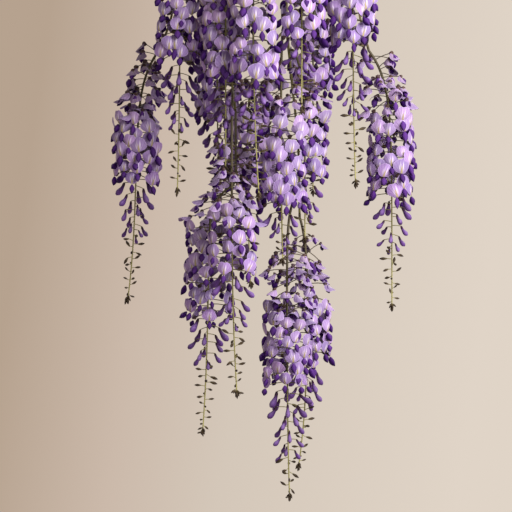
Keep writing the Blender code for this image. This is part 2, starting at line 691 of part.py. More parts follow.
def leaf_outline(route, side):
    """Points and triangles of a pinnate leaf's middle surface: a narrow rib with pairs of
    pointed leaflets cut down to it, and one leaflet at its end."""
    points, faces = [], []
    half = RIB_WIDTH / 2

    def put(*new):
        points.extend(new)
        return list(range(len(points) - len(new), len(points)))

    def along(share):
        p = point_at(route, share=share)
        q = point_at(route, share=min(share + 0.01, 1.0))
        o = point_at(route, share=max(share - 0.01, 0.0))
        return p, (q - o) / np.linalg.norm(q - o)

    previous = None
    stops = [0, 0.07, 0.18]
    for n in range(LEAF_PAIRS):
        middle = FIRST_PAIR + (LAST_PAIR - FIRST_PAIR) * n / (LEAF_PAIRS - 1)
        stops += [middle - LEAFLET_FOOT / 2, middle + LEAFLET_FOOT / 2]
    for n, share in enumerate(stops):
        p, ahead = along(share)
        pair = put(p - side * half, p + side * half)
        if previous:
            faces += [(previous[0], previous[1], pair[1]), (previous[0], pair[1], pair[0])]
        if n >= 3 and n % 2 == 0:
            for s, a, b in ((-1, previous[0], pair[0]), (1, pair[1], previous[1])):
                size = 1.0 - 0.25 * abs(share - 0.6)
                out = side * s * 0.88 + ahead * 0.40 + np.array([0, 0, -0.22])
                out /= np.linalg.norm(out)
                wide = np.cross(out, np.cross(ahead, side)) * s
                wide /= np.linalg.norm(wide)
                wide = wide if wide @ ahead > 0 else -wide
                length = LEAFLET_LENGTH * size
                belly = p + out * length * 0.42
                near = belly - wide * LEAFLET_WIDTH * size / 2
                far = belly + wide * LEAFLET_WIDTH * size / 2
                tip = p + out * length + np.array([0, 0, -0.003])
                if s < 0:
                    near, far = put(near), put(far)
                else:
                    near, far = put(far), put(near)
                point = put(tip)
                corners = (a, near[0], point[0], far[0], b)
                faces += [
                    (corners[0], corners[1], corners[4]), (corners[1], corners[3], corners[4]),
                    (corners[1], corners[2], corners[3]),
                ]
        previous = pair
    p, ahead = along(1.0)
    wide = LEAFLET_WIDTH * 0.5
    belly, tip = p + ahead * 0.012, p + ahead * 0.034
    left, right, point = put(belly - side * wide, belly + side * wide, tip)
    faces += [
        (previous[0], previous[1], right), (previous[0], right, left), (left, right, point),
    ]
    return points, faces


def make_leaf(name, wood):
    """A young leaf that rises from its shoot and arches over."""
    shoot, share, degrees, length, height, drop = LEAVES[name]
    centre = point_at(shoot_line(SHOOTS[shoot]), share=share)
    start, normal = seat_on(wood, centre, (0, 0, 1))
    slope = math.hypot(normal.x, normal.y) / normal.z
    start += Vector((0, 0, slope * RIB_WIDTH / 2))
    a = math.radians(degrees)
    out = np.array([math.cos(a), math.sin(a), 0])
    side = np.array([math.sin(a), -math.cos(a), 0])
    t = np.linspace(0, 1, 9)[:, None]
    rise = height * np.sin(np.minimum(t * 1.9, 1) * math.pi / 2)
    rise -= drop * np.maximum(t - 0.25, 0) ** 1.6
    path = np.array(start) + out * length * t**1.35 + np.array([0, 0, 1.0]) * rise
    points, faces = leaf_outline(path, side)
    leaf = add(name, mesh_of(points, faces), "leaf")
    skin = leaf.modifiers.new("thickness", "SOLIDIFY")
    skin.thickness = LEAF_THICKNESS
    skin.offset = 0


def main():
    clear_scene()
    make_pot()
    make_soil()
    make_hanger()
    vine = make_wood()
    wood = BVHTree.FromObject(vine, bpy.context.evaluated_depsgraph_get())
    lines = {name: shoot_line(points) for name, points in SHOOTS.items()}
    lines |= {name: raceme_line(name, wood) for name in RACEMES}
    for name in RACEMES:
        make_raceme(name, lines)
    for name in LEAVES:
        make_leaf(name, wood)


main()
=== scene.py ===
# %% [markdown]
# # Wisteria in a hanging clay pot
# A vine grows in a plain clay pot that hangs on three wires. Its shoots arch over the rim, and
# long racemes of lilac flowers hang from them. The camera looks straight at the racemes.
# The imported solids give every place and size, and each one is replaced here by a finer piece
# of the same form. All lengths are in metres, +Z is up and the front faces -Y.

# %% Load the solids
import math
from functools import partial

import bpy
import numpy as np
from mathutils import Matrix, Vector


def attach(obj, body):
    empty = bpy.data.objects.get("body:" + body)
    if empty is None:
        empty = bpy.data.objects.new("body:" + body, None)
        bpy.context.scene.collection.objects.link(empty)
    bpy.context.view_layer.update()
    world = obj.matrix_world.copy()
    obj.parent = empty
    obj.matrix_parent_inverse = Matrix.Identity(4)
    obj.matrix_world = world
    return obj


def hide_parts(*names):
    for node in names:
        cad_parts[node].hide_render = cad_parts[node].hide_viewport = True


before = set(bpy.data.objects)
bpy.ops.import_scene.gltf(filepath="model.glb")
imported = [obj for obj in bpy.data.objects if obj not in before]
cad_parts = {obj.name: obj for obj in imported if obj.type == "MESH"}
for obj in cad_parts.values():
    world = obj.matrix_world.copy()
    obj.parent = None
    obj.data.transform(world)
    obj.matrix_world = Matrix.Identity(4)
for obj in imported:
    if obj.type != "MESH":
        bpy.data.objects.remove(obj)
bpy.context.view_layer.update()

# %% [markdown]
# ## Meshes from arrays
# Every piece below is a grid of points that numpy works out all at once. A grid is rows of
# points; its faces join each point with the next one along and across. A tube is a grid that
# closes round. Hundreds of flowers are one array: the same grid, with another place and size
# for each flower.

# %% Grids and tubes
def sheet_faces(rows, columns):
    """Four-sided faces over a grid of points that stays open on all sides."""
    i = np.arange(rows * columns).reshape(rows, columns)
    return np.stack([i[:-1, :-1], i[:-1, 1:], i[1:, 1:], i[1:, :-1]], -1).reshape(-1, 4)


def tube_faces(rings, sides, capped=True):
    """Faces over rings of points: sides that close round, and a flat cap at each end."""
    i = np.arange(rings * sides).reshape(rings, sides)
    j = np.roll(i, -1, axis=1)
    walls = np.stack([i[:-1], j[:-1], j[1:], i[1:]], -1).reshape(-1, 4)
    return [walls, i[:1, ::-1], i[-1:]] if capped else [walls]


def repeated(faces, count, points):
    """The faces of one shape, moved on to each of the shapes in one array of points."""
    step = points * np.arange(count)[:, None, None]
    return [(f[None] + step).reshape(-1, f.shape[1]) for f in faces]


def normalised(v):
    """Vectors divided by their own length."""
    return v / np.linalg.norm(v, axis=-1, keepdims=True)


def tube(path, radii, sides, level):
    """Rings round a path. Each ring stands square to the path, and its first point lies on the
    side given by level x heading, so the tube doesn't twist. Radii is one number for each
    ring, or for each point."""
    path = np.asarray(path, float)
    heading = normalised(np.gradient(path, axis=0))
    side = normalised(np.cross(np.asarray(level, float), heading))
    up = np.cross(heading, side)
    turn = math.tau * np.arange(sides) / sides
    radii = np.broadcast_to(np.asarray(radii, float).reshape(len(path), -1), (len(path), sides))
    ring = np.cos(turn)[:, None] * side[:, None] + np.sin(turn)[:, None] * up[:, None]
    return (path[:, None] + radii[..., None] * ring).reshape(-1, 3)


def smooth_route(points, steps):
    """Points along a Catmull-Rom curve, which passes through every given point."""
    p = np.array(points, float)
    p = np.vstack([2 * p[0] - p[1], p, 2 * p[-1] - p[-2]])
    a, b, c, d = (p[k:len(p) - 3 + k, None] for k in range(4))
    t = np.linspace(0, 1, steps, endpoint=False)[None, :, None]
    bend = t**2 * (a - 2.5 * b + 2 * c - 0.5 * d) + t**3 * (1.5 * (b - c) + 0.5 * (d - a))
    return np.vstack([(b + 0.5 * t * (c - a) + bend).reshape(-1, 3), p[-2]])


def turned(profile, sides):
    """A profile of (radius, height) points carried round the Z axis."""
    r, z = np.array(profile, float).T
    turn = math.tau * np.arange(sides) / sides
    x, y = r[:, None] * np.cos(turn), r[:, None] * np.sin(turn)
    return np.stack([x, y, np.broadcast_to(z[:, None], x.shape)], -1).reshape(-1, 3)


# %% Putting a piece into the scene
def add_piece(name, points, faces, finish, slot, node, **facts):
    """Makes a mesh from points and lists of faces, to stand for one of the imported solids. Each
    fact is an attribute with three numbers for each point."""
    mesh = bpy.data.meshes.new(name)
    mesh.from_pydata(points.tolist(), [], [f for kind in faces for f in kind.tolist()])
    for fact, values in facts.items():
        layer = mesh.attributes.new(fact, "FLOAT_VECTOR", "POINT")
        layer.data.foreach_set("vector", np.ascontiguousarray(values, np.float32).ravel())
    mesh.shade_smooth()
    mesh.materials.append(finish)
    made = bpy.data.objects.new(name, mesh)
    bpy.context.scene.collection.objects.link(made)
    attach(made, "root")
    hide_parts(node)


# %% [markdown]
# ## Finishes
# A finish is a small tree of nodes. One helper adds a node with its inputs and its settings.
# Colours are given as they look on a screen and turned into the linear values that light
# needs. What several finishes do alike, such as a tint that follows a value, is worked out
# once, in a function made of that helper. A pattern on Object coordinates has grains of about
# one over its scale, in metres: 900 for clay grit of a millimetre, 260 for crumbs of four.

# %% Colours and nodes
def linear(code):
    """A screen colour such as A98BD0 as linear red, green, blue and a full alpha."""
    part = np.array([int(code[k:k + 2], 16) for k in (0, 2, 4)]) / 255
    part = np.where(part <= 0.04045, part / 12.92, ((part + 0.055) / 1.055) ** 2.4)
    return (*map(float, part), 1.0)


def put(tree, kind, inputs=(), **settings):
    """Adds a node and gives its outputs. Each input is a constant or the output of another
    node; they come in the order of the sockets, or by the sockets' names or places. Stops are
    the colours of a ramp."""
    made = tree.nodes.new("ShaderNode" + kind)
    for name, value in settings.items():
        if name == "stops":
            ramp = made.color_ramp.elements
            while len(ramp) < len(value):
                ramp.new(0.5)
            for element, (place, code) in zip(ramp, value):
                element.position, element.color = place, linear(code)
        else:
            setattr(made, name, value)
    for name, value in inputs.items() if isinstance(inputs, dict) else enumerate(inputs):
        if isinstance(value, bpy.types.NodeSocket):
            tree.links.new(value, made.inputs[name])
        else:
            made.inputs[name].default_value = value
    return made.outputs


BLEND = {"data_type": "RGBA"}  # a Mix node of colours: 0 is the share, 6 and 7 the colours
SMOOTH = {"interpolation_type": "SMOOTHSTEP"}


# %% What the finishes share
def new_finish(name, **constants):
    """A material with its shader's constant settings, and a short way to add its nodes."""
    made = bpy.data.materials.new(name)
    made.use_nodes = True
    shader = made.node_tree.nodes["Principled BSDF"]
    for socket, value in constants.items():
        shader.inputs[socket.replace("_", " ")].default_value = value
    return made, partial(put, made.node_tree)


def cover(finish, colour, height, depth):
    """Gives the shader its colour, and from a height a relief that is a depth in metres."""
    tree = finish.node_tree
    sockets = tree.nodes["Principled BSDF"].inputs
    relief = put(tree, "Bump", {"Height": height, "Distance": depth})[0]
    tree.links.new(colour, sockets["Base Color"])
    tree.links.new(relief, sockets["Normal"])
    return finish


def tinted(add, colour, code, by, low, high, first, last, **settings):
    """Mixes a colour with another. The other one's share goes from first to last while the
    value that it follows rises from low to high."""
    share = add("MapRange", [by, low, high, first, last], **settings)[0]
    return add("Mix", {0: share, 6: colour, 7: linear(code)}, **BLEND)[2]


def read(add, fact):
    """The three numbers that a fact keeps on each point."""
    return add("SeparateXYZ", [add("Attribute", attribute_name=fact)["Vector"]])[:]


# %% [markdown]
# ## Camera, light and the wall behind
# The picture is taken level, from straight in front, with a long lens. Behind the flowers is
# a plain beige wall that is brighter to the right, where a soft lamp stands so near that the
# flowers on that side are brighter too. The wall is painted on the sky, so it doesn't hide
# the plant from behind, and the other sides have its middle tone; its brighter right side is
# painted light of that lamp. A second, weaker light from behind keeps the back of the plant
# readable.

# %% Camera
scene = bpy.context.scene
SIGHT = (-0.0115, -2.70, -0.7694)
FRAME_WIDTH, FRAME_DISTANCE = 0.5888, 2.6  # what the picture spans, that far from the camera

lens = bpy.data.cameras.new("camera")
lens.lens = lens.sensor_width * FRAME_DISTANCE / FRAME_WIDTH
camera = bpy.data.objects.new("camera", lens)
camera.location = SIGHT
camera.rotation_euler = (math.radians(90), 0, 0)
scene.collection.objects.link(camera)
scene.camera = camera
scene.view_settings.view_transform = "Standard"
print("camera", tuple(camera.location), "lens", round(lens.lens, 1))

# %% Two lights
LAMP_PLACE, LAMP_AIM = Vector((0.72, -0.88, -0.28)), Vector((0.05, -0.05, -0.66))
LAMP_SIZE, LAMP_POWER, LAMP_COLOUR = 0.80, 26.5, (1.0, 0.965, 0.95)
SUN_STRENGTH, SUN_SPREAD, SUN_COLOUR = 1.8, math.radians(60), (1.0, 0.97, 0.94)
SUN_TURN = (math.radians(55), 0, math.radians(170))

lamp = bpy.data.lights.new("soft lamp on the right", "AREA")
lamp.size, lamp.energy, lamp.color = LAMP_SIZE, LAMP_POWER, LAMP_COLOUR
key = bpy.data.objects.new("soft lamp on the right", lamp)
key.location = LAMP_PLACE
key.rotation_euler = (LAMP_AIM - LAMP_PLACE).to_track_quat("-Z", "Y").to_euler()
key.visible_camera = False
scene.collection.objects.link(key)
sun = bpy.data.lights.new("weak light from behind", "SUN")
sun.energy, sun.angle, sun.color = SUN_STRENGTH, SUN_SPREAD, SUN_COLOUR
fill = bpy.data.objects.new("weak light from behind", sun)
fill.rotation_euler = SUN_TURN
scene.collection.objects.link(fill)

# %% The wall's colours on the sky
WALL_LEAN = -0.15  # painted light of the lamp on the wall leans: brighter towards the lower right
VIEW_EDGE = 0.113  # how far aside a line of sight goes, for each metre, at the picture's edge
WALL_GLOW, SKY_GLOW = 1.0, 0.36  # as the camera sees it, and as it lights the plant

world = bpy.data.worlds.new("beige wall")
world.use_nodes = True
scene.world = world
world.node_tree.nodes.clear()
add = partial(put, world.node_tree)
way = add("TexCoord")["Generated"]
along = add("VectorMath", [way, (1, 0, WALL_LEAN)], operation="DOT_PRODUCT")["Value"]
ahead = add("SeparateXYZ", [way])["Y"]
ahead = add("MapRange", [ahead, 0.75, 0.96], **SMOOTH)[0]
along = add("Math", [along, ahead], operation="MULTIPLY")[0]
share = add("MapRange", [along, -VIEW_EDGE, VIEW_EDGE])[0]
# the wall's beige, darker to the left and brighter to the right: painted light of the lamp
wall = add("ValToRGB", [share], stops=[
    (0.03, "B6A28F"), (0.28, "CBB9AA"), (0.5, "D4C7B9"), (0.96, "E0D4C7")])[0]
seen = add("Background", [wall, WALL_GLOW])[0]
lit = add("Background", [linear("DDCFCB"), SKY_GLOW])[0]
looked_at = add("LightPath")["Is Camera Ray"]
add("OutputWorld", [add("MixShader", [looked_at, lit, seen])[0]])

# %% The floor, far below
FLOOR_RADIUS, FLOOR_HEIGHT, FLOOR_SIDES = 38, -5.5, 96
FLOOR_COLOUR = linear("E9DFD4")

# the floor glows a little: painted light that brings it up to the wall's tone and lights the plant a
# little from below
finish, _ = new_finish("pale matt floor with a painted glow", Roughness=0.9, Base_Color=FLOOR_COLOUR,
                       Emission_Color=FLOOR_COLOUR, Emission_Strength=0.25)
turn = np.linspace(0, math.tau, FLOOR_SIDES, endpoint=False)
rim = np.stack([np.cos(turn), np.sin(turn), 0 * turn], -1) * FLOOR_RADIUS
mesh = bpy.data.meshes.new("floor")
mesh.from_pydata((rim + [0, 0, FLOOR_HEIGHT]).tolist(), [], [list(range(FLOOR_SIDES))])
mesh.materials.append(finish)
floor = bpy.data.objects.new("floor", mesh)
scene.collection.objects.link(floor)
print("floor at", FLOOR_HEIGHT, "with", FLOOR_SIDES, "sides")

# %% [markdown]
# ## How the plant grows
# Seven woody shoots leave the trunk, arch over the pot's rim and hang down. Twenty racemes
# hang from them. Each raceme is known by the shoot and the height that it grows from, the
# plumb line that it hangs on, and four heights: where its open flowers begin and end, where
# its club-shaped buds end, and its tip.

# %% The routes of the shoots and the racemes
TRUNK = [
    (0, 0, -0.360), (0, 0, -0.314), (0.004, -0.003, -0.298),
    (-0.004, 0.003, -0.278), (0.002, 0.001, -0.256),
]
SHOOTS = {
    "left": [
        (0, 0, -0.270), (-0.030, 0.004, -0.251), (-0.072, -0.004, -0.244),
        (-0.108, -0.012, -0.258), (-0.131, -0.012, -0.293), (-0.139, -0.018, -0.350),
        (-0.122, -0.024, -0.425), (-0.110, -0.030, -0.474), (-0.1215, -0.032, -0.519),
    ],
    "right": [
        (0, 0, -0.264), (0.028, -0.008, -0.230), (0.070, -0.010, -0.223),
        (0.108, -0.016, -0.241), (0.133, -0.022, -0.286), (0.140, -0.020, -0.350),
        (0.123, -0.026, -0.425), (0.1105, -0.030, -0.476), (0.1205, -0.032, -0.523),
    ],
    "front_left": [
        (0, 0, -0.266), (-0.018, -0.036, -0.245), (-0.044, -0.077, -0.248),
        (-0.060, -0.107, -0.266), (-0.068, -0.125, -0.302), (-0.066, -0.115, -0.355),
        (-0.058, -0.095, -0.430), (-0.047, -0.086, -0.510), (-0.0355, -0.090, -0.600),
    ],
    "front": [
        (0, 0, -0.263), (0.004, -0.034, -0.233), (0.016, -0.080, -0.227),
        (0.026, -0.116, -0.248), (0.030, -0.136, -0.296), (0.027, -0.123, -0.360),
        (0.024, -0.104, -0.430), (0.024, -0.080, -0.500), (0.030, -0.056, -0.560),
        (0.038, -0.048, -0.640), (0.0395, -0.056, -0.720),
    ],
    "front_right": [
        (0, 0, -0.270), (0.026, -0.028, -0.253), (0.054, -0.068, -0.253),
        (0.076, -0.098, -0.271), (0.088, -0.110, -0.304), (0.088, -0.108, -0.350),
    ],
    "back_left": [
        (0, 0, -0.265), (-0.024, 0.026, -0.232), (-0.052, 0.066, -0.227),
        (-0.074, 0.096, -0.253), (-0.085, 0.110, -0.300), (-0.081, 0.107, -0.370),
        (-0.072, 0.102, -0.430),
    ],
    "back_right": [
        (0, 0, -0.269), (0.022, 0.032, -0.249), (0.052, 0.068, -0.250),
        (0.076, 0.098, -0.270), (0.086, 0.111, -0.306), (0.082, 0.107, -0.375),
        (0.052, 0.100, -0.450), (0.006, 0.088, -0.512),
    ],
}
RACEMES = {
    "r01": ("left", None, (-0.153, -0.030), 0.035, (-0.527, -0.677, -0.745, -0.821), -0.010),
    "r02": ("front_left", -0.365, (-0.099, -0.100), 0.020, (-0.394, -0.544, -0.620, -0.695), -0.003),
    "r03": ("front_left", -0.335, (-0.046, -0.132), 0.020, (-0.390, -0.572, -0.636, -0.672), 0.0),
    "r04": ("front", -0.335, (-0.015, -0.165), 0.026, (-0.431, -0.568, -0.617, -0.703), 0.007),
    "r05": ("front_left", None, (-0.066, -0.095), 0.016, (-0.622, -0.841, -0.895, -0.972), -0.007),
    "r06": ("front_left", -0.580, (-0.039, -0.137), 0.020, (-0.648, -0.785, -0.848, -0.926), 0.006),
    "r07": ("front", -0.305, (0.040, -0.152), 0.018, (-0.342, -0.520, -0.560, -0.605), 0.0),
    "r08": ("front", -0.490, (0.017, -0.122), 0.025, (-0.540, -0.711, -0.745, -0.776), 0.002),
    "r09": ("front", -0.530, (0.045, -0.088), 0.025, (-0.552, -0.676, -0.722, -0.751), 0.0),
    "r10": ("front", -0.695, (0.024, -0.105), 0.020, (-0.746, -0.917, -0.998, -1.046), 0.003),
    "r11": ("front", None, (0.049, -0.065), 0.030, (-0.742, -0.896, -0.943, -1.015), -0.011),
    "r12": ("front_right", None, (0.100, -0.100), 0.030, (-0.374, -0.523, -0.604, -0.687), 0.003),
    "r13": ("right", None, (0.149, -0.030), 0.035, (-0.533, -0.697, -0.759, -0.830), 0.0),
    "r14": ("back_left", None, (-0.060, 0.122), 0.025, (-0.452, -0.600, -0.650, -0.712), 0.004),
    "r15": ("back_right", -0.400, (0.060, 0.138), 0.025, (-0.430, -0.560, -0.615, -0.690), 0.0),
    "r16": ("back_right", None, (-0.022, 0.078), 0.025, (-0.530, -0.680, -0.735, -0.805), 0.004),
    "r17": ("back_left", -0.285, (-0.128, 0.085), 0.020, (-0.315, -0.396, -0.422, -0.448), -0.004),
    "r18": ("back_right", -0.290, (0.130, 0.085), 0.020, (-0.322, -0.398, -0.424, -0.448), 0.004),
    "r19": ("left", -0.268, (-0.171, -0.020), 0.020, (-0.296, -0.395, -0.428, -0.456), -0.003),
    "r20": ("right", -0.262, (0.173, -0.010), 0.020, (-0.290, -0.390, -0.425, -0.455), 0.003),
}
HANGS = {"r05": 0.082}  # how far a stalk hangs straight before it swings to its line
ZONE_REACH = (0.003, 0.031, 0.025, 0.013)  # stalk, open flowers, club buds, tip buds
SHOOT_RADIUS = 0.0045


def at_height(path, z):
    """Points of a line at heights on its way down."""
    falling = path[int(np.argmax(path[:, 2])):][::-1]
    return np.stack([np.interp(z, falling[:, 2], c) for c in falling.T], -1)


def raceme_line(name):
    """A stalk's centre line: its distance from the plumb line shrinks by the same share with
    each step down, and its end drifts aside by the fourth power of the depth."""
    shoot, height, plumb, shoulder, zones, drift = RACEMES[name]
    path = smooth_route(SHOOTS[shoot], 6)
    start = path[-1] if height is None else at_height(path, height)
    out = path[-1] - path[-2] if height is None else np.array([*(plumb - start[:2]), 0])
    first = start + normalised(out) * (0.004 if height is None else SHOOT_RADIUS + 0.003)
    drop = first[2] - zones[3]
    depth = drop * np.linspace(0, 1, 60) ** 1.25
    xy = plumb + (first[:2] - plumb) * np.exp(
        -np.maximum(depth - HANGS.get(name, 0), 0) / shoulder)[:, None]
    xy[:, 0] += drift * (depth / drop) ** 4
    return np.vstack([start, np.column_stack([xy, first[2] - depth])])


lines = {name: smooth_route(points, 6) for name, points in SHOOTS.items()}
lines |= {name: raceme_line(name) for name in RACEMES}
print("shoots and racemes:", len(lines))

# %% [markdown]
# ## Where each flower sits
# On a wisteria the flowers stand round the stalk in a spiral: each is turned 137.5 degrees
# from the one above. Flowers turn aside where a neighbouring raceme, a shoot or the pot is in
# the way, and their stalks stay shorter there.

# %% Room round a raceme
POT_TOP, POT_HEIGHT, POT_TOP_RADIUS, POT_BASE_RADIUS = -0.300, 0.150, 0.120, 0.086
POT_WALL, LIP_HEIGHT, LIP_WALL = 0.007, 0.026, 0.010
TURNS_ASIDE = np.radians([0, -20, 20, -42, 42, -65, 65])
TURN_COST = 0.12  # a turn has to win this share of the reach for each radian
HEIGHTS_TRIED = (-0.016, 0, 0.016)  # about as far as a flower stands above and below its root
FLOWER_GAP, SOLID_GAP, POT_MARGIN = 0.0005, 0.001, 0.004
NO_LIMIT = 9.0  # further than anything here
LEAST_REACH = 1e-6  # a way that points off a neighbour isn't limited by it


def reach_at(zones, z):
    """How far a raceme spreads from its stalk at heights."""
    below = sum((z < limit).astype(int) for limit in zones[:3])
    return np.array(ZONE_REACH)[below]


def pot_radius(z):
    """The pot's outer radius at heights below its lip."""
    top = POT_TOP_RADIUS - (LIP_WALL - POT_WALL)
    return top + (POT_BASE_RADIUS - top) * (POT_TOP - z) / POT_HEIGHT


def find_room(name, roots, azimuth):
    """For each flower, the turn aside that leaves it the most room, and the share of its
    reach that is free there. A neighbour claims space in proportion to its own spread."""
    zones = RACEMES[name][4]
    ways, limits = [], []
    for dz in HEIGHTS_TRIED:
        z = roots[:, 2] + dz
        mine = reach_at(zones, z)
        for other, path in lines.items():
            if other == name:
                continue
            there = (path[-1, 2] <= z) & (z <= path[1:, 2].max())
            away = at_height(path, z)[:, :2] - roots[:, :2]
            apart = np.linalg.norm(away, axis=1)
            if other in RACEMES:
                limit = apart * mine / (mine + reach_at(RACEMES[other][4], z)) - FLOWER_GAP
            else:
                limit = apart - SHOOT_RADIUS - SOLID_GAP
            ways.append(away / apart[:, None])
            limits.append(np.where(there, limit, NO_LIMIT))
        apart = np.linalg.norm(roots[:, :2], axis=1)
        widest = np.where(z > POT_TOP - LIP_HEIGHT - POT_MARGIN, POT_TOP_RADIUS, pot_radius(z))
        beside = z > POT_TOP - POT_HEIGHT - POT_MARGIN
        ways.append(-roots[:, :2] / apart[:, None])
        limits.append(np.where(beside, apart - widest - SOLID_GAP, NO_LIMIT))
    ways, limits = np.stack(ways, 1), np.stack(limits, 1)
    tried = azimuth[:, None] + TURNS_ASIDE
    facing = np.stack([np.cos(tried), np.sin(tried)], -1)
    reach = reach_at(zones, roots[:, 2])[:, None, None] * np.einsum("ntk,nmk->ntm", facing, ways)
    free = limits[:, None] / np.maximum(reach, LEAST_REACH)
    free = np.where(reach > LEAST_REACH, free, NO_LIMIT).min(2)
    free = np.clip(free, 0, 1)
    best = np.argmax(free - TURN_COST * np.abs(TURNS_ASIDE), axis=1)
    row = np.arange(len(roots))
    return tried[row, best], free[row, best]


# %% [markdown]
# ## The parts of a flower
# Each flower hangs on a thread of a stalk. A small dark cup, the calyx, holds a broad round
# petal that bends back, the banner, and a deep violet hood, the keel in its wings. A stalk, a
# cup, a hood and a bud are all bodies of rings along a bent line, so one function makes them.
# It works in three directions that belong to the flower: out from the raceme, aside, and up.

# %% Bodies of rings
def pods(start, angle, bend, length, wide, deep, size, sides, form):
    """Bodies of rings for many flowers. The line of centres starts at start, heads out at an
    angle above level and turns by bend on its way; wide and deep are the half sizes of the
    rings, and form is the share of them at each side. Gives the points, and where each line
    ends."""
    rings = len(wide)
    share = np.linspace(0, 1, rings)
    heading = angle[:, None] + bend[:, None] * share
    middle = (heading[:, 1:] + heading[:, :-1]) / 2
    run = np.stack([np.cos(middle), np.sin(middle)], -1) * (length / (rings - 1))[:, None, None]
    run = np.concatenate([0 * run[:, :1], np.cumsum(run, 1)], 1)
    centre = start[:, None] + run
    turn = math.tau * np.arange(sides) / sides
    across = form * np.sin(turn) * wide[:, None] * size[:, None, None]
    high = form * np.cos(turn) * deep[:, None] * size[:, None, None]
    out = centre[..., :1] - np.sin(heading)[..., None] * high
    up = centre[..., 1:] + np.cos(heading)[..., None] * high
    return np.stack([out, across, up], -1).reshape(len(start), -1, 3), centre[:, -1]


def planted(local, roots, azimuth):
    """Turns shapes from (out, aside, up) to their direction round the raceme, and moves them
    to their roots on its stalk."""
    c, s = np.cos(azimuth)[:, None], np.sin(azimuth)[:, None]
    x = local[..., 0] * c - local[..., 1] * s
    y = local[..., 0] * s + local[..., 1] * c
    return (np.stack([x, y, local[..., 2]], -1) + roots[:, None]).reshape(-1, 3)


# %% Banners
BANNER_WIDTH, BANNER_HEIGHT, BANNER_DEPTH = 0.0184, 0.0160, 0.0085
BANNER_ROWS, BANNER_COLUMNS = 8, 9


def banners(base, lift, cup, curl, foot, roll, twist, wave, size):
    """Round petals. A square grid is rounded into a disc by x = u sqrt(1 - v*v/2) and the same
    for y. The disc is held at its base, which lies at y = -foot, and raised by lift above
    level. Its sides curve back by cup times x squared, or down round the hood where cup is
    negative, and its top curves back by curl times the square of the height. Twist times x y
    makes it uneven, and roll turns it round its base. Its outline swings in and out by
    cosines of three and five times the angle round it, which start at wave."""
    u, v = np.meshgrid(np.linspace(-1, 1, BANNER_COLUMNS), np.linspace(-1, 1, BANNER_ROWS))
    x, y = u * np.sqrt(1 - v**2 / 2), v * np.sqrt(1 - u**2 / 2)
    x, y = x.ravel(), y.ravel()
    cup, curl, foot, twist, wave = (each[:, None] for each in (cup, curl, foot, twist, wave))
    notch = 0.10 * np.exp(-(x / 0.22) ** 2) * np.clip(y, 0, 1) ** 3
    round_it = np.arctan2(y, x)
    edge = 0.050 * np.cos(3 * round_it + wave) + 0.035 * np.cos(5 * round_it - 2 * wave)
    edge = 1 + (x**2 + y**2) * edge
    narrow = 1 - 0.35 * np.clip(-y - 0.35, 0, 1)
    wide = BANNER_WIDTH / 2 * x * edge * narrow * (0.97 - 0.10 * y)
    high = BANNER_HEIGHT / 2 * (y * edge + foot - notch)
    fold = np.exp(-(x / 0.3) ** 2)
    tall = np.clip(y + 0.35, 0, 2) ** 2
    back = BANNER_DEPTH * (cup * x**2 + curl * tall + twist * x * y - 0.13 * fold)
    wide = wide * (1 - 0.32 * np.clip(-cup, 0, 1))
    c, s = np.cos(roll)[:, None], np.sin(roll)[:, None]
    wide, high = wide * c - high * s, wide * s + high * c
    c, s = np.cos(lift)[:, None], np.sin(lift)[:, None]
    out = base[:, :1] + size[:, None] * (high * c - back * s)
    up = base[:, 1:] + size[:, None] * (high * s + back * c)
    return np.stack([out, wide * size[:, None], up], -1), x, y


print("one banner has", len(sheet_faces(BANNER_ROWS, BANNER_COLUMNS)), "faces")
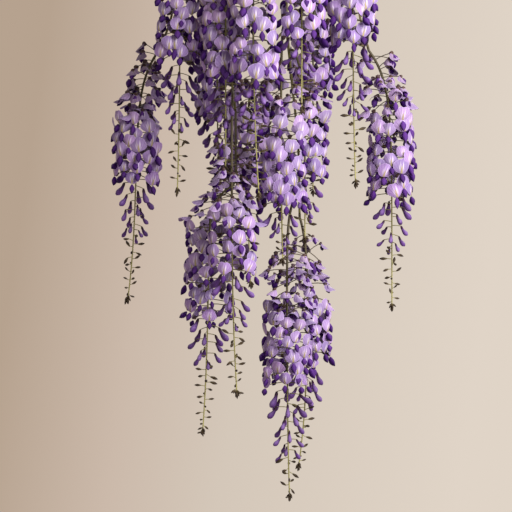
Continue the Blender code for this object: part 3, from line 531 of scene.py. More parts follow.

# %% [markdown]
# ## Finish of the banners
# The banner is a soft thin petal, pale lilac. A deeper ring inside its edge is painted shade,
# where the edge curves back, and its thin pale rim is painted light that comes through the
# petal. Two pale bands stand beside its middle, broken into streaks by darker veins that fan
# out, with a thin green yellow line between them. The oldest flowers, near the top of a
# raceme, have gone grey lilac. The pattern follows the petal, so it is drawn from the
# petal's own across and up, kept on each point.

# %% Lilac banner
def banner_finish():
    finish, add = new_finish("lilac banner petal", Roughness=0.65, Specular_IOR_Level=0.15)
    x, y, own = read(add, "place")
    youth = read(add, "state")[0]
    side = add("Math", [x], operation="ABSOLUTE")[0]
    petal = add("ValToRGB", [youth], stops=[
        (0, "9C8CA6"), (0.3, "9E8AB0"), (0.6, "A18CBA"), (1, "977FB6")])[0]
    hue = add("MapRange", [own, 0, 1, 0.490, 0.520])[0]
    value = add("MapRange", [own, 0, 1, 0.78, 1.12])[0]
    petal = add("HueSaturation", {"Hue": hue, "Value": value, "Color": petal})[0]
    # painted shade: a deeper ring where the edge curves back, inside a thin pale rim that is
    # painted light, where the light comes through the petal
    centre = add("VectorMath", [add("CombineXYZ", [x, y])[0]], operation="LENGTH")["Value"]
    petal = tinted(add, petal, "7C6398", centre, 0.55, 0.92, 0.0, 0.22, **SMOOTH)
    petal = tinted(add, petal, "C3B0D6", centre, 0.90, 0.99, 0.0, 0.55, **SMOOTH)
    # a pale band on each side of the middle, broken into streaks by veins that fan out
    rise = add("Math", [y, 1.15], operation="ADD")[0]
    fan = add("Math", [x, rise], operation="ARCTAN2")[0]
    fan = add("Math", [fan, 26.0], operation="MULTIPLY")[0]
    vein = add("Math", [fan], operation="SINE")[0]
    vein = add("MapRange", [vein, 0.2, 1.0, 0.0, 0.30])[0]
    lobe = add("VectorMath", [add("CombineXYZ", [side, y])[0], (5.2, 1.15, 0.0), (-1.05, 0.10, 0.0)],
               operation="MULTIPLY_ADD")[0]
    lobe = add("VectorMath", [lobe], operation="LENGTH")["Value"]
    lobe = add("MapRange", [lobe, 0.25, 1.00, 0.44, 0.0], **SMOOTH)[0]
    fresh = add("MapRange", [youth, 0.1, 0.5, 0.35, 1.0])[0]
    lobe = add("Math", [lobe, fresh], operation="MULTIPLY")[0]
    streak = add("Math", [lobe, vein], operation="SUBTRACT")[0]
    petal = add("Mix", {0: streak, 6: petal, 7: linear("F3EDF1")}, **BLEND)[2]
    petal = add("Mix", {0: vein, 6: petal, 7: linear("775592")}, **BLEND)[2]
    # the thin green yellow line between the bands, with its point up
    wedge = add("Math", [y, 0.10, side], operation="MULTIPLY_ADD")[0]
    wedge = add("MapRange", [wedge, 0.01, 0.10, 0.85, 0.0], **SMOOTH)[0]
    low = add("MapRange", [y, -0.15, 0.30, 1.0, 0.0], **SMOOTH)[0]
    wedge = add("Math", [wedge, low], operation="MULTIPLY")[0]
    petal = add("Mix", {0: wedge, 6: petal, 7: linear("A3965E")}, **BLEND)[2]
    # the foot, in the shade of the cup
    petal = tinted(add, petal, "5B3F6E", y, -1.0, -0.82, 0.7, 0.0, **SMOOTH)
    return cover(finish, petal, vein, 0.0003)


BANNER = banner_finish()

# %% [markdown]
# ## Finish of the hoods, the buds and the stalks
# The hoods are the darkest part, a deep violet blue. Club buds are purple, paler along their
# outer edge, and dark at the cup. The tip buds are olive brown. Stalks are a dull olive where
# they are old and turn to yellow green towards the tip. Petal and stalk skin is matt, with a
# grain that is too fine to see: its noise is stretched over the box of the whole piece, which
# makes grains of one to a few tenths of a millimetre that only dull the surface.

# %% Violet hood
def hood_finish():
    finish, add = new_finish("violet keel petal", Roughness=0.55, Specular_IOR_Level=0.06)
    top, along, own = read(add, "place")
    colour = add("ValToRGB", [along], stops=[
        (0, "522C76"), (0.35, "39155E"), (0.75, "2A0B49"), (1, "1E0532")])[0]
    # painted highlight: the side of the hood that faces out and up is a lighter violet
    colour = tinted(add, colour, "7A4FA2", top, 0.1, 1.0, 0.0, 0.38)
    value = add("MapRange", [own, 0, 1, 0.75, 1.3])[0]
    colour = add("HueSaturation", {"Value": value, "Color": colour})[0]
    grain = add("TexNoise", {"Scale": 900.0, "Detail": 2.0})[0]
    colour = tinted(add, colour, "26104E", grain, 0, 1, 0.0, 0.3)
    return cover(finish, colour, grain, 0.0002)


HOOD = hood_finish()


# %% Buds
def bud_finish():
    finish, add = new_finish("wisteria bud", Roughness=0.55, Specular_IOR_Level=0.15)
    top, along, own = read(add, "place")
    at_tip = read(add, "state")[1]
    body = add("ValToRGB", [along], stops=[
        (0, "2E1820"), (0.20, "351C32"), (0.32, "46265E"), (0.75, "603C84"), (1, "563478")])[0]
    edge = add("MapRange", [top, -0.2, 1.0, 0.0, 0.55])[0]
    past_cup = add("MapRange", [along, 0.25, 0.5])[0]
    edge = add("Math", [edge, past_cup], operation="MULTIPLY")[0]
    body = add("Mix", {0: edge, 6: body, 7: linear("9C80BE")}, **BLEND)[2]
    olive = add("ValToRGB", [along], stops=[(0, "5C5330"), (0.5, "43381F"), (1, "2F2619")])[0]
    colour = add("Mix", {0: at_tip, 6: body, 7: olive}, **BLEND)[2]
    value = add("MapRange", [own, 0, 1, 0.75, 1.2])[0]
    colour = add("HueSaturation", {"Value": value, "Color": colour})[0]
    grain = add("TexNoise", {"Scale": 1100.0, "Detail": 2.0})[0]
    colour = tinted(add, colour, "33203F", grain, 0, 1, 0.0, 0.35)
    return cover(finish, colour, grain, 0.00015)


BUD = bud_finish()


# %% Stalks and cups
def stalk_finish():
    finish, add = new_finish("raceme stalk", Roughness=0.6)
    youth, at_cup, own = read(add, "state")
    green = add("ValToRGB", [youth], stops=[
        (0, "453D24"), (0.42, "645D31"), (0.7, "85814A"), (1, "A9A561")])[0]
    cup = add("Mix", {0: own, 6: linear("3A1E2B"), 7: linear("50352F")}, **BLEND)[2]
    colour = add("Mix", {0: at_cup, 6: green, 7: cup}, **BLEND)[2]
    grain = add("TexNoise", {"Scale": 700.0, "Detail": 3.0})[0]
    colour = tinted(add, colour, "3B2B22", grain, 0.35, 0.75, 0.0, 0.5)
    return cover(finish, colour, grain, 0.0002)


STALK = stalk_finish()
print("finishes:", [m.name for m in bpy.data.materials])

# %% [markdown]
# ## Growing a raceme
# Down the stalk come old flowers, whose banners droop over the hood, then fresh ones, whose
# banners stand up and face out, then club buds that hang from level stalks, then tip buds,
# and a tuft of the smallest. A raceme opens from its top, so each one has a share of old
# flowers. Flowers are tried closer together than they can stand, and each one that would
# press into a flower above it is left out.

# %% Sizes down a raceme
FLOWER_PITCH, CLUB_PITCH, TIP_PITCH = 0.0019, 0.0041, 0.0038
GOLDEN_ANGLE = math.radians(137.5)
LEAST_APART = (0.0100, 0.0111)  # between the middles of two old flowers, and of two fresh ones
LEAST_FREE = 0.36  # a flower that has a smaller share of its reach free is left out
HEAD_REACH = 0.024  # from the stalk to the middle of a flower that has all its room
OLD_SHARE = 0.40  # the upper part of the open flowers, whose banners hang and fold down
OLD_SHARES = {
    "r01": 0.50, "r02": 0.22, "r03": 0.22, "r04": 0.24, "r05": 0.48, "r06": 0.55, "r07": 0.25,
    "r10": 0.56, "r11": 0.56, "r12": 0.25, "r13": 0.44,
}
LOW_RACEMES, LOW_SIZE = -0.78, 0.91  # racemes in flower below this height have smaller ones
STALK_RADII = (0.0007, 0.0009, 0.0015)  # at the tip, and where the open flowers end and begin
THREAD = np.full(4, 0.00050)  # rings of a flower's own thin stalk, as half sizes
PEDICEL, CUP_LENGTH, HOOD_LENGTH = 0.0212, 0.0038, 0.0108  # the pedicel is that stalk
CLUB_STALK, CLUB_LENGTH = 0.0150, 0.0182
TIP_STALK, TIP_LENGTH = 0.0070, 0.0080
TUFT, TUFT_LENGTH, TUFT_SIZE = 9, 0.0064, 0.72  # the smallest buds, at the very tip

# %% Rings of the cup, the hood and the buds, as half sizes
CUP_WIDE = np.array([0.0007, 0.0018, 0.0024, 0.0023])
HOOD_WIDE = np.array([0.0009, 0.0027, 0.0038, 0.0034, 0.0019, 0.0003])
HOOD_DEEP = np.array([0.0012, 0.0028, 0.0038, 0.0036, 0.0024, 0.0005])
# grooved in front, keeled behind
HOOD_FORM = np.array([0.62, 1.05, 1.0, 0.95, 1.15, 0.95, 1.0, 1.05])
CLUB_WIDE = np.array([0.0010, 0.0017, 0.0017, 0.0022, 0.0029, 0.0034, 0.0031, 0.0013])
CLUB_DEEP = CLUB_WIDE * 1.12
TIP_WIDE = np.array([0.0007, 0.0012, 0.0016, 0.0012, 0.0002])

# %% How an old flower and a fresh one are held, in that order
BANNER_CUP, BANNER_CURL, BANNER_FOOT = (-0.72, 0.30), (-0.10, 0.24), (0.95, 0.66)
BANNER_FORWARD = (-0.0012, 0.0008)
HOOD_OUT, HOOD_UP = (0.0028, 0.0006), (-0.0016, -0.0024)
LIFT_PLAY, ROLL_PLAY, STALK_PLAY = (0.28, 0.14), (0.28, 0.16), (0.30, 0.12)
SHORTEST_STALK = (0.62, 0.90)
TO_THE_FRONT = 0.46  # how strongly flowers turn to the front, or to the back at the back


# %% Places down a stalk
def spiral(name, high, low, pitch, draw, turn):
    """Roots down a stalk at even steps with a little play, and directions round it."""
    count = max(3, round((high - low) / pitch))
    share = (np.arange(count) + draw.uniform(0.2, 0.8, count)) / count
    azimuth = turn + GOLDEN_ANGLE * np.arange(count) + draw.normal(0, 0.16, count)
    return at_height(lines[name], high + (low - high) * share), azimuth, share


def spaced(spots, least):
    """Which spots stay, from the top down, when each keeps a least distance from those that
    stay above it. A spot whose least distance is out of reach never stays."""
    apart = np.linalg.norm(spots[:, None] - spots, axis=2)
    kept = []
    for k in range(len(spots)):
        if (apart[k, kept] > least[k]).all() and least[k] < NO_LIMIT:
            kept.append(k)
    return np.array(kept)


# %% Many shapes in one piece
def facts(count, points, *columns):
    """One row for each point. A column is a number, a list of one value for each shape, or a
    row, as [None] makes it, of one value for each point of a shape."""
    whole = np.empty((count, points, len(columns)))
    for k, column in enumerate(columns):
        column = np.asarray(column, float)
        whole[..., k] = column[:, None] if column.ndim == 1 else column
    return whole.reshape(-1, len(columns))


class Bunch:
    """Points, faces and facts of many small shapes that end in one piece. Place says where a
    point lies on its own shape; state is its youth, whether it is at a tip or cup, and a
    number that belongs to the shape."""

    def __init__(self):
        self.points, self.faces, self.place, self.state, self.total = [], [], [], [], 0

    def take(self, points, faces, place, state):
        """Adds shapes. Their faces count on from the points that came before."""
        self.points.append(points)
        self.faces += [f + self.total for f in faces]
        self.place.append(place)
        self.state.append(state)
        self.total += len(points)

    def piece(self, name, finish, slot, node):
        """Puts it all into the scene as one piece."""
        add_piece(name, np.vstack(self.points), self.faces, finish, slot, node,
                  place=np.vstack(self.place), state=np.vstack(self.state))


def add_pods(bunch, roots, azimuth, start, angle, bend, length, wide, deep, size, sides, youth,
             at_end, own, form=1):
    """Bodies of rings for all flowers at once, added to a bunch. A single number counts for
    all of them. Gives their ends."""
    count = len(roots)
    start = np.broadcast_to(start, (count, 2))
    angle, bend, length, size = (np.broadcast_to(v, count) for v in (angle, bend, length, size))
    local, end = pods(start, angle, bend, length, wide, deep, size, sides, form)
    points = local.shape[1]
    faces = repeated(tube_faces(len(wide), sides), count, points)
    top = np.tile(np.cos(math.tau * np.arange(sides) / sides), len(wide))
    along = np.repeat(np.linspace(0, 1, len(wide)), sides)
    bunch.take(planted(local, roots, azimuth), faces, facts(count, points, top[None], along[None], own),
               facts(count, points, youth, at_end, own))
    return end


# %% Open flowers
def open_flowers(name, parts, draw):
    """Threads, cups, banners and hoods. An old banner's lift goes from -44 to -26 degrees down
    the raceme, a fresh one's from 62 to 82, both with some play. Threads are as long as the
    free room lets them be, and each flower turns by a share of the sine of its angle from the
    front. Gives the number of flowers and the last direction."""
    zones = RACEMES[name][4]
    turn = draw.uniform(0, 6)
    roots, azimuth, share = spiral(name, zones[0], zones[1], FLOWER_PITCH, draw, turn)
    azimuth, free = find_room(name, roots, azimuth)
    ways = np.stack([np.cos(azimuth), np.sin(azimuth), 0 * free], -1)
    apart = np.interp(share, [0.3, 0.5], LEAST_APART)
    kept = spaced(roots + free[:, None] * HEAD_REACH * ways, np.where(free > LEAST_FREE, apart, NO_LIMIT))
    roots, azimuth, share, free = roots[kept], azimuth[kept], share[kept], free[kept]

    count = len(roots)
    own = draw.uniform(0, 1, count)
    faded = OLD_SHARES.get(name, OLD_SHARE)
    old = share + draw.normal(0, 0.05, count) < faded
    size = np.clip(draw.normal(1.0, 0.07, count), 0.84, 1.12) * np.clip(free + 0.25, 0.78, 1)
    size *= np.where(old, np.interp(share, [0, faded], [0.92, 1.06]), 1)
    size *= LOW_SIZE if zones[1] < LOW_RACEMES else 1
    lift = np.radians(np.where(old, np.interp(share, [0, faded], [-44, -26]), 62 + 20 * share))
    lift += draw.normal(0, 1, count) * np.where(old, *LIFT_PLAY)
    cup = np.where(old, *BANNER_CUP) + draw.normal(0, 0.12, count)
    roll = draw.normal(0, 1, count) * np.where(old, *ROLL_PLAY)
    twist = draw.normal(0, 0.16, count)
    curl = np.where(old, *BANNER_CURL) + draw.normal(0, 0.04, count)
    foot = np.where(old, *BANNER_FOOT)

    length = PEDICEL * np.clip(1.15 * free - 0.10, 0.3, 1)
    length *= draw.uniform(np.where(old, *SHORTEST_STALK), 1.08)
    angle = 0.05 + draw.normal(0, 1, count) * np.where(old, *STALK_PLAY)
    angle += np.interp(share, [0, 0.4], [0.25, 0])
    bend = draw.uniform(-0.5, -0.2, count)
    end = add_pods(parts["stalks"], roots, azimuth, 0, angle, bend, length, THREAD, THREAD, 1, 4,
                   share * 0.6, 0.25, own)
    heads = planted(np.insert(end, 1, 0, axis=1)[:, None], roots, azimuth)
    front = -math.pi / 2 if RACEMES[name][2][1] < 0.05 else math.pi / 2
    facing = azimuth + TO_THE_FRONT * np.sin(front - azimuth) + draw.normal(0, 0.22, count)
    cup_angle = angle + bend - 0.15
    cup_size = size * np.interp(share, [0, 0.4], [1.35, 1.1])
    end = add_pods(parts["stalks"], heads, facing, 0, cup_angle, 0, CUP_LENGTH * cup_size, CUP_WIDE,
                   CUP_WIDE, cup_size, 6, share * 0.6, 1, own)

    forward = np.where(old, *BANNER_FORWARD)[:, None]
    end = end + forward * np.stack([np.cos(cup_angle), np.sin(cup_angle)], -1)
    local, x, y = banners(end + [0.0, 0.0010], lift, cup, curl, foot, roll, twist, 40 * own, size)
    faces = repeated([sheet_faces(BANNER_ROWS, BANNER_COLUMNS)[:, ::-1]], count, len(x))
    parts["banners"].take(planted(local, heads, facing), faces,
                          facts(count, len(x), x[None], y[None], own),
                          facts(count, len(x), share, 0, own))
    down = np.radians(-82) + 0.10 * lift + draw.normal(0, 0.20, count)
    long, thick = draw.uniform(0.80, 1.22, count), draw.uniform(0.78, 1.06, count)
    end = end + np.stack([np.where(old, *HOOD_OUT), np.where(old, *HOOD_UP)], -1)
    add_pods(parts["hoods"], heads, facing, end, down, 0.35, HOOD_LENGTH * size * long, HOOD_WIDE,
             HOOD_DEEP, size * thick, 8, share, 0, own, HOOD_FORM)
    return count, azimuth[-1]


# %% Club buds, smaller towards the tip
def club_buds(name, parts, draw, turn):
    """Club buds that hang from level stalks. Sizes and stalks shrink evenly by 0.45 of their
    first value. Gives the last direction."""
    zones = RACEMES[name][4]
    roots, azimuth, share = spiral(name, zones[1], zones[2], CLUB_PITCH, draw, turn)
    azimuth, free = find_room(name, roots, azimuth)
    count = len(roots)
    own = draw.uniform(0, 1, count)
    size = (1.05 - 0.45 * share) * draw.uniform(0.92, 1.08, count)
    length = CLUB_STALK * (1 - 0.45 * share) * np.clip(free, 0.35, 1)
    angle = draw.normal(-0.05, 0.12, count)
    end = add_pods(parts["stalks"], roots, azimuth, 0, angle, -0.2, length, THREAD * 0.9,
                   THREAD * 0.9, 1, 4, 0.65 + 0.2 * share, 0.2, own)
    droop = np.radians(-74) + draw.normal(0, 0.14, count)
    add_pods(parts["buds"], roots, azimuth, end, droop, 0.70, CLUB_LENGTH * size, CLUB_WIDE,
             CLUB_DEEP, size, 7, share, 0, own)
    return azimuth[-1]


# %% Tip buds and the tuft
def tip_buds(name, parts, draw, turn):
    """Tip buds on short stalks, which shrink evenly by 0.62 of the first one's length, and the
    tuft that points down."""
    zones, path = RACEMES[name][4], lines[name]
    roots, azimuth, share = spiral(name, zones[2], zones[3] + 0.001, TIP_PITCH, draw, turn)
    count = len(roots)
    own = draw.uniform(0, 1, count)
    length = TIP_STALK * (1 - 0.62 * share)
    angle = draw.normal(0.05, 0.2, count) - 0.9 * np.clip(share - 0.85, 0, 1) / 0.15
    end = add_pods(parts["stalks"], roots, azimuth, 0, angle, -0.1, length, THREAD * 0.8,
                   THREAD * 0.8, 1, 4, 0.85 + 0.15 * share, 0.15, own)
    size = (1.1 - 0.35 * share) * draw.uniform(0.85, 1.15, count)
    aim = angle + draw.normal(-0.05, 0.3, count)
    add_pods(parts["buds"], roots, azimuth, end, aim, draw.normal(0, 0.2, count), TIP_LENGTH * size,
             TIP_WIDE, TIP_WIDE, size, 6, share, 1, own)
    roots = path[-1] + np.linspace(0.0050, 0.0008, TUFT)[:, None] * [0, 0, 1]
    azimuth = draw.uniform(0, 6) + GOLDEN_ANGLE * np.arange(TUFT)
    aim = np.linspace(-0.55, -1.5, TUFT) + draw.normal(0, 0.1, TUFT)
    add_pods(parts["buds"], roots, azimuth, 0, aim, -0.2, TUFT_LENGTH, TIP_WIDE, TIP_WIDE,
             TUFT_SIZE, 6, 1, 1, draw.uniform(0, 1, TUFT))


# %% All racemes
PARTS = {
    "stalks": (STALK, "leaf"), "banners": (BANNER, "petal"), "hoods": (HOOD, "petal"),
    "buds": (BUD, "petal"),
}
AXIS_SIDES = 8


def grow_raceme(name):
    """The four pieces of a raceme. Gives the number of its open flowers."""
    zones, path = RACEMES[name][4], lines[name]
    draw = np.random.default_rng(100 + int(name[1:]))
    parts = {part: Bunch() for part in PARTS}
    radii = np.interp(path[:, 2], [zones[3], zones[1], zones[0]], STALK_RADII)
    first = np.abs(path[1] - path[0])
    level = (0.02, 1, 0) if first[0] > first[1] else (1, 0.02, 0)  # well aside of the first step
    points = tube(path, radii, AXIS_SIDES, level)
    youth = np.repeat(np.interp(path[:, 2], [zones[3], zones[0]], [1, 0]), AXIS_SIDES)
    parts["stalks"].take(points, tube_faces(len(path), AXIS_SIDES), 0 * points,
                         facts(1, len(points), youth[None], 0, 0.5))
    count, turn = open_flowers(name, parts, draw)
    turn = club_buds(name, parts, draw, turn + GOLDEN_ANGLE)
    tip_buds(name, parts, draw, turn)
    node = name.replace("r", "raceme_")
    for part, (finish, slot) in PARTS.items():
        parts[part].piece(f"{node}_{part}", finish, slot, node)
    return count


grown = {name: grow_raceme(name) for name in RACEMES}
print("open flowers:", sum(grown.values()), grown)

# %% [markdown]
# ## Wood
# The trunk and the shoots are woody, with grey brown bark in low twisted ridges. A tube whose
# radius changes round and along it gives the ridges, and noise in the finish gives the rest.

# %% Bark
def bark_finish():
    finish, add = new_finish("grey brown bark", Roughness=0.8)
    young = read(add, "state")[0]
    where = add("TexCoord")["Object"]
    slow = add("Mapping", {0: where, "Scale": (1, 1, 0.25)})[0]
    fibre = add("TexNoise", {"Vector": slow, "Scale": 420.0, "Detail": 5.0})[0]
    patch = add("TexNoise", {"Vector": where, "Scale": 60.0, "Detail": 3.0})[0]
    old = add("ValToRGB", [fibre], stops=[(0.3, "2E241A"), (0.5, "5C4B38"), (0.7, "8A7A64")])[0]
    fresh = add("ValToRGB", [fibre], stops=[(0.3, "3F3A1E"), (0.5, "5E5A2C"), (0.7, "7A7440")])[0]
    colour = add("Mix", {0: young, 6: old, 7: fresh}, **BLEND)[2]
    colour = tinted(add, colour, "4A3A2B", patch, 0.4, 0.7, 0.0, 0.5)
    return cover(finish, colour, fibre, 0.0010)


# %% Trunk and shoots
BARK = bark_finish()
LIMB_SIDES, TWIG_RADIUS, KNOT_EVERY = 14, 0.0013, 0.045
wood = Bunch()


def run_length(path):
    """How far along a path each of its points lies."""
    return np.concatenate([[0], np.cumsum(np.linalg.norm(np.diff(path, axis=0), axis=1))])


def add_limb(path, radii, level, young):
    """A limb whose radius swings by a sine of 7% in three ridges that wind round it and one of
    3% in five that wind the other way. A bell curve of 10% makes each knot."""
    turn = math.tau * np.arange(LIMB_SIDES) / LIMB_SIDES
    along = run_length(path)[:, None]
    ridge = 1 + 0.07 * np.sin(3 * turn + 90 * along) + 0.03 * np.sin(5 * turn - 60 * along)
    knot = 1 + 0.10 * np.exp(-((along % KNOT_EVERY - 0.022) / 0.004) ** 2)
    points = tube(path, radii[:, None] * ridge * knot, LIMB_SIDES, level)
    wood.take(points, tube_faces(len(path), LIMB_SIDES), 0 * points,
              facts(1, len(points), np.repeat(young, LIMB_SIDES)[None], 0, 0))


path = smooth_route(TRUNK, 8)
radii = np.interp(path[:, 2], [-0.36, -0.30, -0.254], [0.0100, 0.0100, 0.0078])
add_limb(path, radii, (1, 0, 0), np.zeros(len(path)))
for points in SHOOTS.values():
    path = smooth_route(points, 8)
    out = path[len(path) // 2, :2]
    share = np.linspace(0, 1, len(path))
    radii = TWIG_RADIUS + (SHOOT_RADIUS - TWIG_RADIUS) * (1 - share) ** 1.9
    add_limb(path, radii, (-out[1], out[0], 0), np.clip(share * 2.2 - 0.7, 0, 1))
wood.piece("vine_bark", BARK, "wood", "vine_wood")
print("bark points:", wood.total)

# %% [markdown]
# ## Leaves
# A wisteria leaf is a thin rib with pairs of pointed leaflets and one at its end. Young leaves
# are a fresh yellow green with paler veins, and a little glossy. Each leaflet is a grid: its
# width follows a sine that is fuller near the foot, it folds up a little along its middle and
# its tip hangs.

# %% Leaf finish
def leaf_finish():
    finish, add = new_finish("young wisteria leaf", Roughness=0.45)
    across, along, own = read(add, "place")
    side = add("Math", [across], operation="ABSOLUTE")[0]
    slant = add("Math", [side, -0.35, along], operation="MULTIPLY_ADD")[0]
    slant = add("Math", [slant, 62.0], operation="MULTIPLY")[0]
    vein = add("Math", [slant], operation="SINE")[0]
    vein = add("MapRange", [vein, 0.8, 1.0, 0.0, 0.5])[0]
    middle = add("MapRange", [side, 0.03, 0.10, 0.8, 0.0])[0]
    line = add("Math", [vein, middle], operation="MAXIMUM")[0]
    blade = add("ValToRGB", [own], stops=[(0, "4C6A22"), (0.5, "5F7F2B"), (1, "7B8F3A")])[0]
    where = add("TexCoord")["Object"]
    patch = add("TexNoise", {"Vector": where, "Scale": 160.0, "Detail": 3.0})[0]
    blade = tinted(add, blade, "3E5A1C", patch, 0, 1, 0.0, 0.45)
    colour = add("Mix", {0: line, 6: blade, 7: linear("A2AC62")}, **BLEND)[2]
    return cover(finish, colour, line, 0.0004)


LEAF = leaf_finish()

# %% Leaves
LEAVES = {
    "leaf_1": ("right", 0.15, 4, 0.150, 0.045, 0.065),
    "leaf_2": ("back_right", 0.15, 50, 0.140, 0.050, 0.050),
    "leaf_3": ("back_left", 0.13, 126, 0.150, 0.050, 0.075),
    "leaf_4": ("left", 0.17, 180, 0.150, 0.052, 0.060),
    "leaf_5": ("front_left", 0.10, 242, 0.130, 0.056, 0.055),
    "leaf_6": ("front", 0.10, 290, 0.140, 0.045, 0.070),
    "leaf_7": ("left", 0.07, 156, 0.100, 0.110, 0.030),
    "leaf_8": ("right", 0.06, 24, 0.105, 0.100, 0.035),
    "leaf_9": ("front", 0.045, 264, 0.100, 0.115, 0.035),
}
LEAFLET_LENGTH, LEAFLET_WIDTH, LEAFLET_ROWS, LEAFLET_COLUMNS = 0.044, 0.018, 12, 7
PAIRS, RIB_STEPS, RIB_SIDES = 4, 24, 6
UP = np.array([0, 0, 1.0])


def at_share(path, share):
    """Points of a line at shares of its length."""
    along = run_length(path)
    return np.stack([np.interp(np.asarray(share) * along[-1], along, c) for c in path.T], -1)


def grow_leaf(name):
    """A rib that rises by a quarter of a sine and then arches over, with its leaflets. Half a
    leaflet's width follows the sine of its length's power of 0.8, and its tip hangs by the
    square of its length."""
    shoot, share, degrees, length, height, drop = LEAVES[name]
    draw = np.random.default_rng(int(name[-1]))
    start = at_share(smooth_route(SHOOTS[shoot], 8), share)
    a = math.radians(degrees)
    out, side = np.array([math.cos(a), math.sin(a), 0]), np.array([math.sin(a), -math.cos(a), 0])
    t = np.linspace(0, 1, RIB_STEPS)[:, None]
    rise = height * np.sin(np.minimum(t * 1.9, 1) * math.pi / 2)
    rise = rise - drop * np.maximum(t - 0.25, 0) ** 1.6 + 0.004 * np.minimum(t * 8, 1)
    rib = start + out * length * t**1.35 + UP * rise
    bunch = Bunch()
    points = tube(rib, np.linspace(0.0011, 0.0006, RIB_STEPS), RIB_SIDES, side)
    bunch.take(points, tube_faces(RIB_STEPS, RIB_SIDES), facts(1, len(points), 0, 0.5, 0.9), 0 * points)

    shares = np.append(np.repeat(np.linspace(0.30, 0.90, PAIRS), 2), 1.0)
    hand = np.append(np.tile([-1.0, 1.0], PAIRS), 0)[:, None]
    foot = at_share(rib, shares)
    ahead = normalised(at_share(rib, np.minimum(shares + 0.01, 1)) - at_share(rib, shares - 0.01))
    outward = normalised(side * hand * 0.88 + ahead * np.where(hand == 0, 1, 0.40) + [0, 0, -0.22])
    upward = normalised(np.cross(ahead, side))
    wide = normalised(np.cross(outward, upward))
    upward = np.cross(wide, outward)
    count = len(shares)
    size = (1 - 0.25 * np.abs(shares - 0.6)) * draw.uniform(0.94, 1.04, count)
    size[-1] *= 0.8
    size = size[:, None, None]
    u, v = np.meshgrid(np.linspace(-1, 1, LEAFLET_COLUMNS), np.linspace(0, 1, LEAFLET_ROWS))
    u, v = u.ravel(), v.ravel()
    half = LEAFLET_WIDTH / 2 * (np.sin(math.pi * v**0.80) ** 0.85 + 0.03)
    fold = 0.30 * np.abs(u) * half + 0.0009 * np.sin(9 * v + 2 * u)
    hang = -0.0060 * v**2
    local = foot[:, None]
    for way, far in ((outward, LEAFLET_LENGTH * v), (wide, half * u), (upward, fold)):
        local = local + way[:, None] * far[:, None] * size
    local = local + UP * (hang[:, None] * size)
    own = draw.uniform(0, 1, count)
    bunch.take(local.reshape(-1, 3), repeated([sheet_faces(LEAFLET_ROWS, LEAFLET_COLUMNS)], count, len(u)),
               facts(count, len(u), u[None], v[None], own), facts(count, len(u), 0, 0, 0))
    bunch.piece(name + "_fine", LEAF, "leaf", name)


for name in LEAVES:
    grow_leaf(name)
print("leaves:", len(LEAVES))

# %% [markdown]
# ## The pot and its soil
# The pot is plain unglazed clay, turned on a wheel, with a thick lip and a drain hole. Turning
# leaves fine rings, and water that dries on it leaves a pale bloom. A profile carried round
# the axis makes it; its edges are rounded by a few points each. The soil is dark loose crumbs,
# heaped a little round the trunk: another profile, with random lumps added to its heights.

# %% Clay
def clay_finish():
    finish, add = new_finish("unglazed terracotta", Roughness=0.85)
    where = add("TexCoord")["Object"]
    flat = add("Mapping", {0: where, "Scale": (0.08, 0.08, 1)})[0]
    rings = add("TexNoise", {"Vector": flat, "Scale": 520.0, "Detail": 3.0})[0]
    bloom = add("TexNoise", {"Vector": where, "Scale": 22.0, "Detail": 6.0, "Roughness": 0.65})[0]
    grit = add("TexNoise", {"Vector": where, "Scale": 900.0, "Detail": 2.0})[0]
    colour = add("ValToRGB", [rings], stops=[(0.3, "96503A"), (0.5, "AD6246"), (0.7, "BC7354")])[0]
    colour = tinted(add, colour, "D0B39C", bloom, 0.52, 0.74, 0.0, 0.55, **SMOOTH)
    colour = tinted(add, colour, "6E3A2A", grit, 0.62, 0.75, 0.0, 0.35)
    height = add("Math", [grit, 0.3, rings], operation="MULTIPLY_ADD")[0]
    return cover(finish, colour, height, 0.0008)


# %% Pot
CLAY = clay_finish()
POT_SIDES, DRAIN_RADIUS = 96, 0.008
R = 0.0016  # how far the edges are rounded
bottom, lip = POT_TOP - POT_HEIGHT, POT_TOP - LIP_HEIGHT
floor_level = bottom + POT_WALL
inner_top, inner_low = POT_TOP_RADIUS - LIP_WALL, pot_radius(floor_level) - POT_WALL
profile = [
    (DRAIN_RADIUS, bottom), (POT_BASE_RADIUS - R, bottom), (POT_BASE_RADIUS, bottom + R),
    (pot_radius(lip), lip), (pot_radius(lip), lip), (POT_TOP_RADIUS - R, lip),
    (POT_TOP_RADIUS - 0.3 * R, lip + 0.3 * R), (POT_TOP_RADIUS, lip + R),
    (POT_TOP_RADIUS, POT_TOP - 2 * R), (POT_TOP_RADIUS - 0.5 * R, POT_TOP - 0.6 * R),
    (POT_TOP_RADIUS - 2 * R, POT_TOP), (inner_top + 2 * R, POT_TOP),
    (inner_top + 0.5 * R, POT_TOP - 0.6 * R), (inner_top, POT_TOP - 2 * R),
    (inner_low, floor_level), (DRAIN_RADIUS, floor_level), (DRAIN_RADIUS, bottom),
]
points = turned(profile, POT_SIDES)
walls = tube_faces(len(profile), POT_SIDES, False)[0][:, ::-1]
add_piece("pot_clay", points, [walls], CLAY, "clay", "pot")
print("pot points:", len(points))


def inner_radius(depth):
    """The pot's inner radius at a depth below its top, in a straight line down to its floor."""
    return inner_top + (inner_low - inner_top) * depth / (POT_TOP - floor_level)


# %% Soil
def soil_finish():
    finish, add = new_finish("dark potting soil", Roughness=0.95)
    where = add("TexCoord")["Object"]
    crumb = add("TexVoronoi", {"Vector": where, "Scale": 260.0})[0]
    fine = add("TexNoise", {"Vector": where, "Scale": 500.0, "Detail": 5.0})[0]
    colour = add("ValToRGB", [fine], stops=[(0.25, "1C1410"), (0.5, "35281E"), (0.72, "5A4635")])[0]
    height = add("Math", [fine, crumb], operation="SUBTRACT")[0]
    return cover(finish, colour, height, 0.0025)


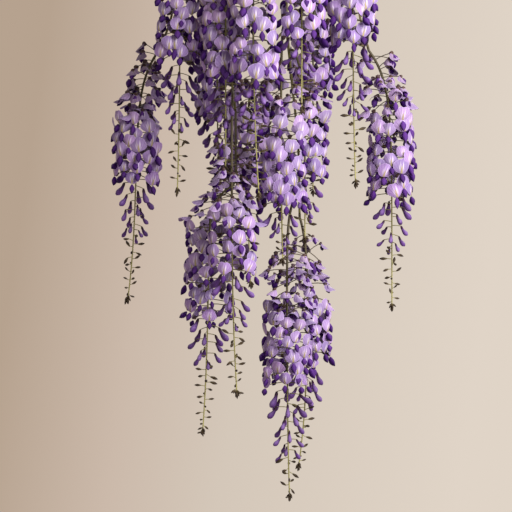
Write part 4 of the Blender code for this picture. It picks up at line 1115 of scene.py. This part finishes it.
SOIL = soil_finish()
SOIL_DEPTH, SOIL_GAP, SOIL_HEAP = 0.018, 0.0005, 0.004
SOIL_RINGS, SOIL_SIDES, LUMP = 40, 96, 0.0007
edge = POT_TOP - SOIL_DEPTH
edge_radius = inner_radius(SOIL_DEPTH) - SOIL_GAP
r = np.linspace(0.0004, 1, SOIL_RINGS) * edge_radius
z = edge + SOIL_HEAP * np.clip(1.9 - 2 * r / edge_radius, 0, 1)
r, z = np.append(r, inner_low - SOIL_GAP), np.append(z, floor_level + 0.0003)
points = turned(np.column_stack([r, z]), SOIL_SIDES).reshape(SOIL_RINGS + 1, SOIL_SIDES, 3)
lumps = np.random.default_rng(3).normal(0, 1, (SOIL_RINGS - 1, SOIL_SIDES))
lumps = (lumps + np.roll(lumps, 1, 1) + np.roll(lumps, 1, 0)) * LUMP
points[1:-1, :, 2] += lumps * np.clip(points[1:-1, :1, 0] / 0.02, 0, 1)
faces = [f[:, ::-1] for f in tube_faces(SOIL_RINGS + 1, SOIL_SIDES)]
add_piece("soil_crumbs", points.reshape(-1, 3), faces, SOIL, "soil", "soil")
print("soil points:", points.size // 3)

# %% [markdown]
# ## The hanger
# Three stiff steel wires reach from the pot's lip to a small hub, and a hook stands in the
# hub. The wires go in through the lip and turn up behind it. They would all but fill their
# holes, so the clay and the hub have no holes of their own for them here. Drawing leaves
# steel wire with a satin surface, bright in some places and duller in others.

# %% Steel
def steel_finish():
    finish, add = new_finish("drawn steel wire", Metallic=1.0)
    where = add("TexCoord")["Object"]
    drawn = add("TexNoise", {"Vector": where, "Scale": 300.0, "Detail": 4.0})[0]
    colour = add("ValToRGB", [drawn], stops=[(0.3, "6E6C68"), (0.55, "9A9894"), (0.75, "B4B2AE")])[0]
    rough = add("MapRange", [drawn, 0.3, 0.7, 0.28, 0.5])[0]
    tree = finish.node_tree
    tree.links.new(rough, tree.nodes["Principled BSDF"].inputs["Roughness"])
    return cover(finish, colour, drawn, 0.0001)


STEEL = steel_finish()


def add_rod(node, route, radius, sides, level):
    """A bent steel rod that stands for the solid of that name."""
    points = tube(route, np.full(len(route), radius), sides, level)
    add_piece(node + "_fine", points, tube_faces(len(route), sides), STEEL, "steel", node)


# %% Wires
HUB_TOP, HUB_HEIGHT, HUB_RADIUS, WIRE_RADIUS = -0.046, 0.016, 0.009, 0.0012
HOLE_DEPTH = 0.0125  # from the pot's top down to where the wires go through its lip
hole = POT_TOP - HOLE_DEPTH
outside = POT_TOP_RADIUS + 0.0035
inside = inner_radius(HOLE_DEPTH) - WIRE_RADIUS - 0.0009
wire = np.array([
    (0.0040, HUB_TOP - HUB_HEIGHT + 0.006), (outside, POT_TOP + 0.002),
    (outside + 0.0004, POT_TOP - 0.004), (outside - 0.0004, hole + 0.0022),
    (POT_TOP_RADIUS + 0.0006, hole), (inside + 0.0016, hole),
    (inside, hole + 0.0018), (inside - 0.0004, hole + 0.0095),
])
straight = np.linspace(wire[0], wire[1], 12, endpoint=False)
bent = smooth_route(np.column_stack([wire[1:], 0 * wire[1:, 0]]), 5)[:, :2]
wire = np.vstack([straight, bent])
for number, angle in enumerate((90, 210, 330), 1):
    a = math.radians(angle)
    route = np.column_stack([wire[:, 0] * math.cos(a), wire[:, 0] * math.sin(a), wire[:, 1]])
    add_rod(f"hanger_wire_{number}", route, WIRE_RADIUS, 12, (-math.sin(a), math.cos(a), 0))

# %% Hook and hub
HOOK_RADIUS, HOOK_BEND = 0.0025, 0.014
bend = HOOK_BEND + HOOK_RADIUS
arc = np.radians(np.linspace(-60, 220, 41))
stem = smooth_route([
    (0, 0, HUB_TOP - 0.005), (0, 0, HUB_TOP + 0.001), (0.0022, 0, -bend * 2.25),
    (bend * math.cos(arc[0]), 0, bend * math.sin(arc[0]) - HOOK_BEND)], 6)[:-1]
curl = np.column_stack([bend * np.cos(arc), 0 * arc, bend * np.sin(arc) - HOOK_BEND])
add_rod("hanger_hook", np.vstack([stem, curl]), HOOK_RADIUS, 16, (0, 1, 0))

HUB_SIDES, HUB_MIDDLE = 32, 0.0002
low = HUB_TOP - HUB_HEIGHT
profile = [
    (HUB_MIDDLE, low), (HUB_RADIUS * 0.8, low), (HUB_RADIUS, low + 0.002),
    (HUB_RADIUS, HUB_TOP - 0.005), (HUB_RADIUS * 0.9, HUB_TOP - 0.0025),
    (HUB_RADIUS * 0.55, HUB_TOP), (HUB_MIDDLE, HUB_TOP),
]
faces = tube_faces(len(profile), HUB_SIDES)
add_piece("hanger_hub_fine", turned(profile, HUB_SIDES), faces, STEEL, "steel", "hanger_hub")
print("hook's bend:", HOOK_BEND, "hub:", HUB_RADIUS, HUB_HEIGHT)
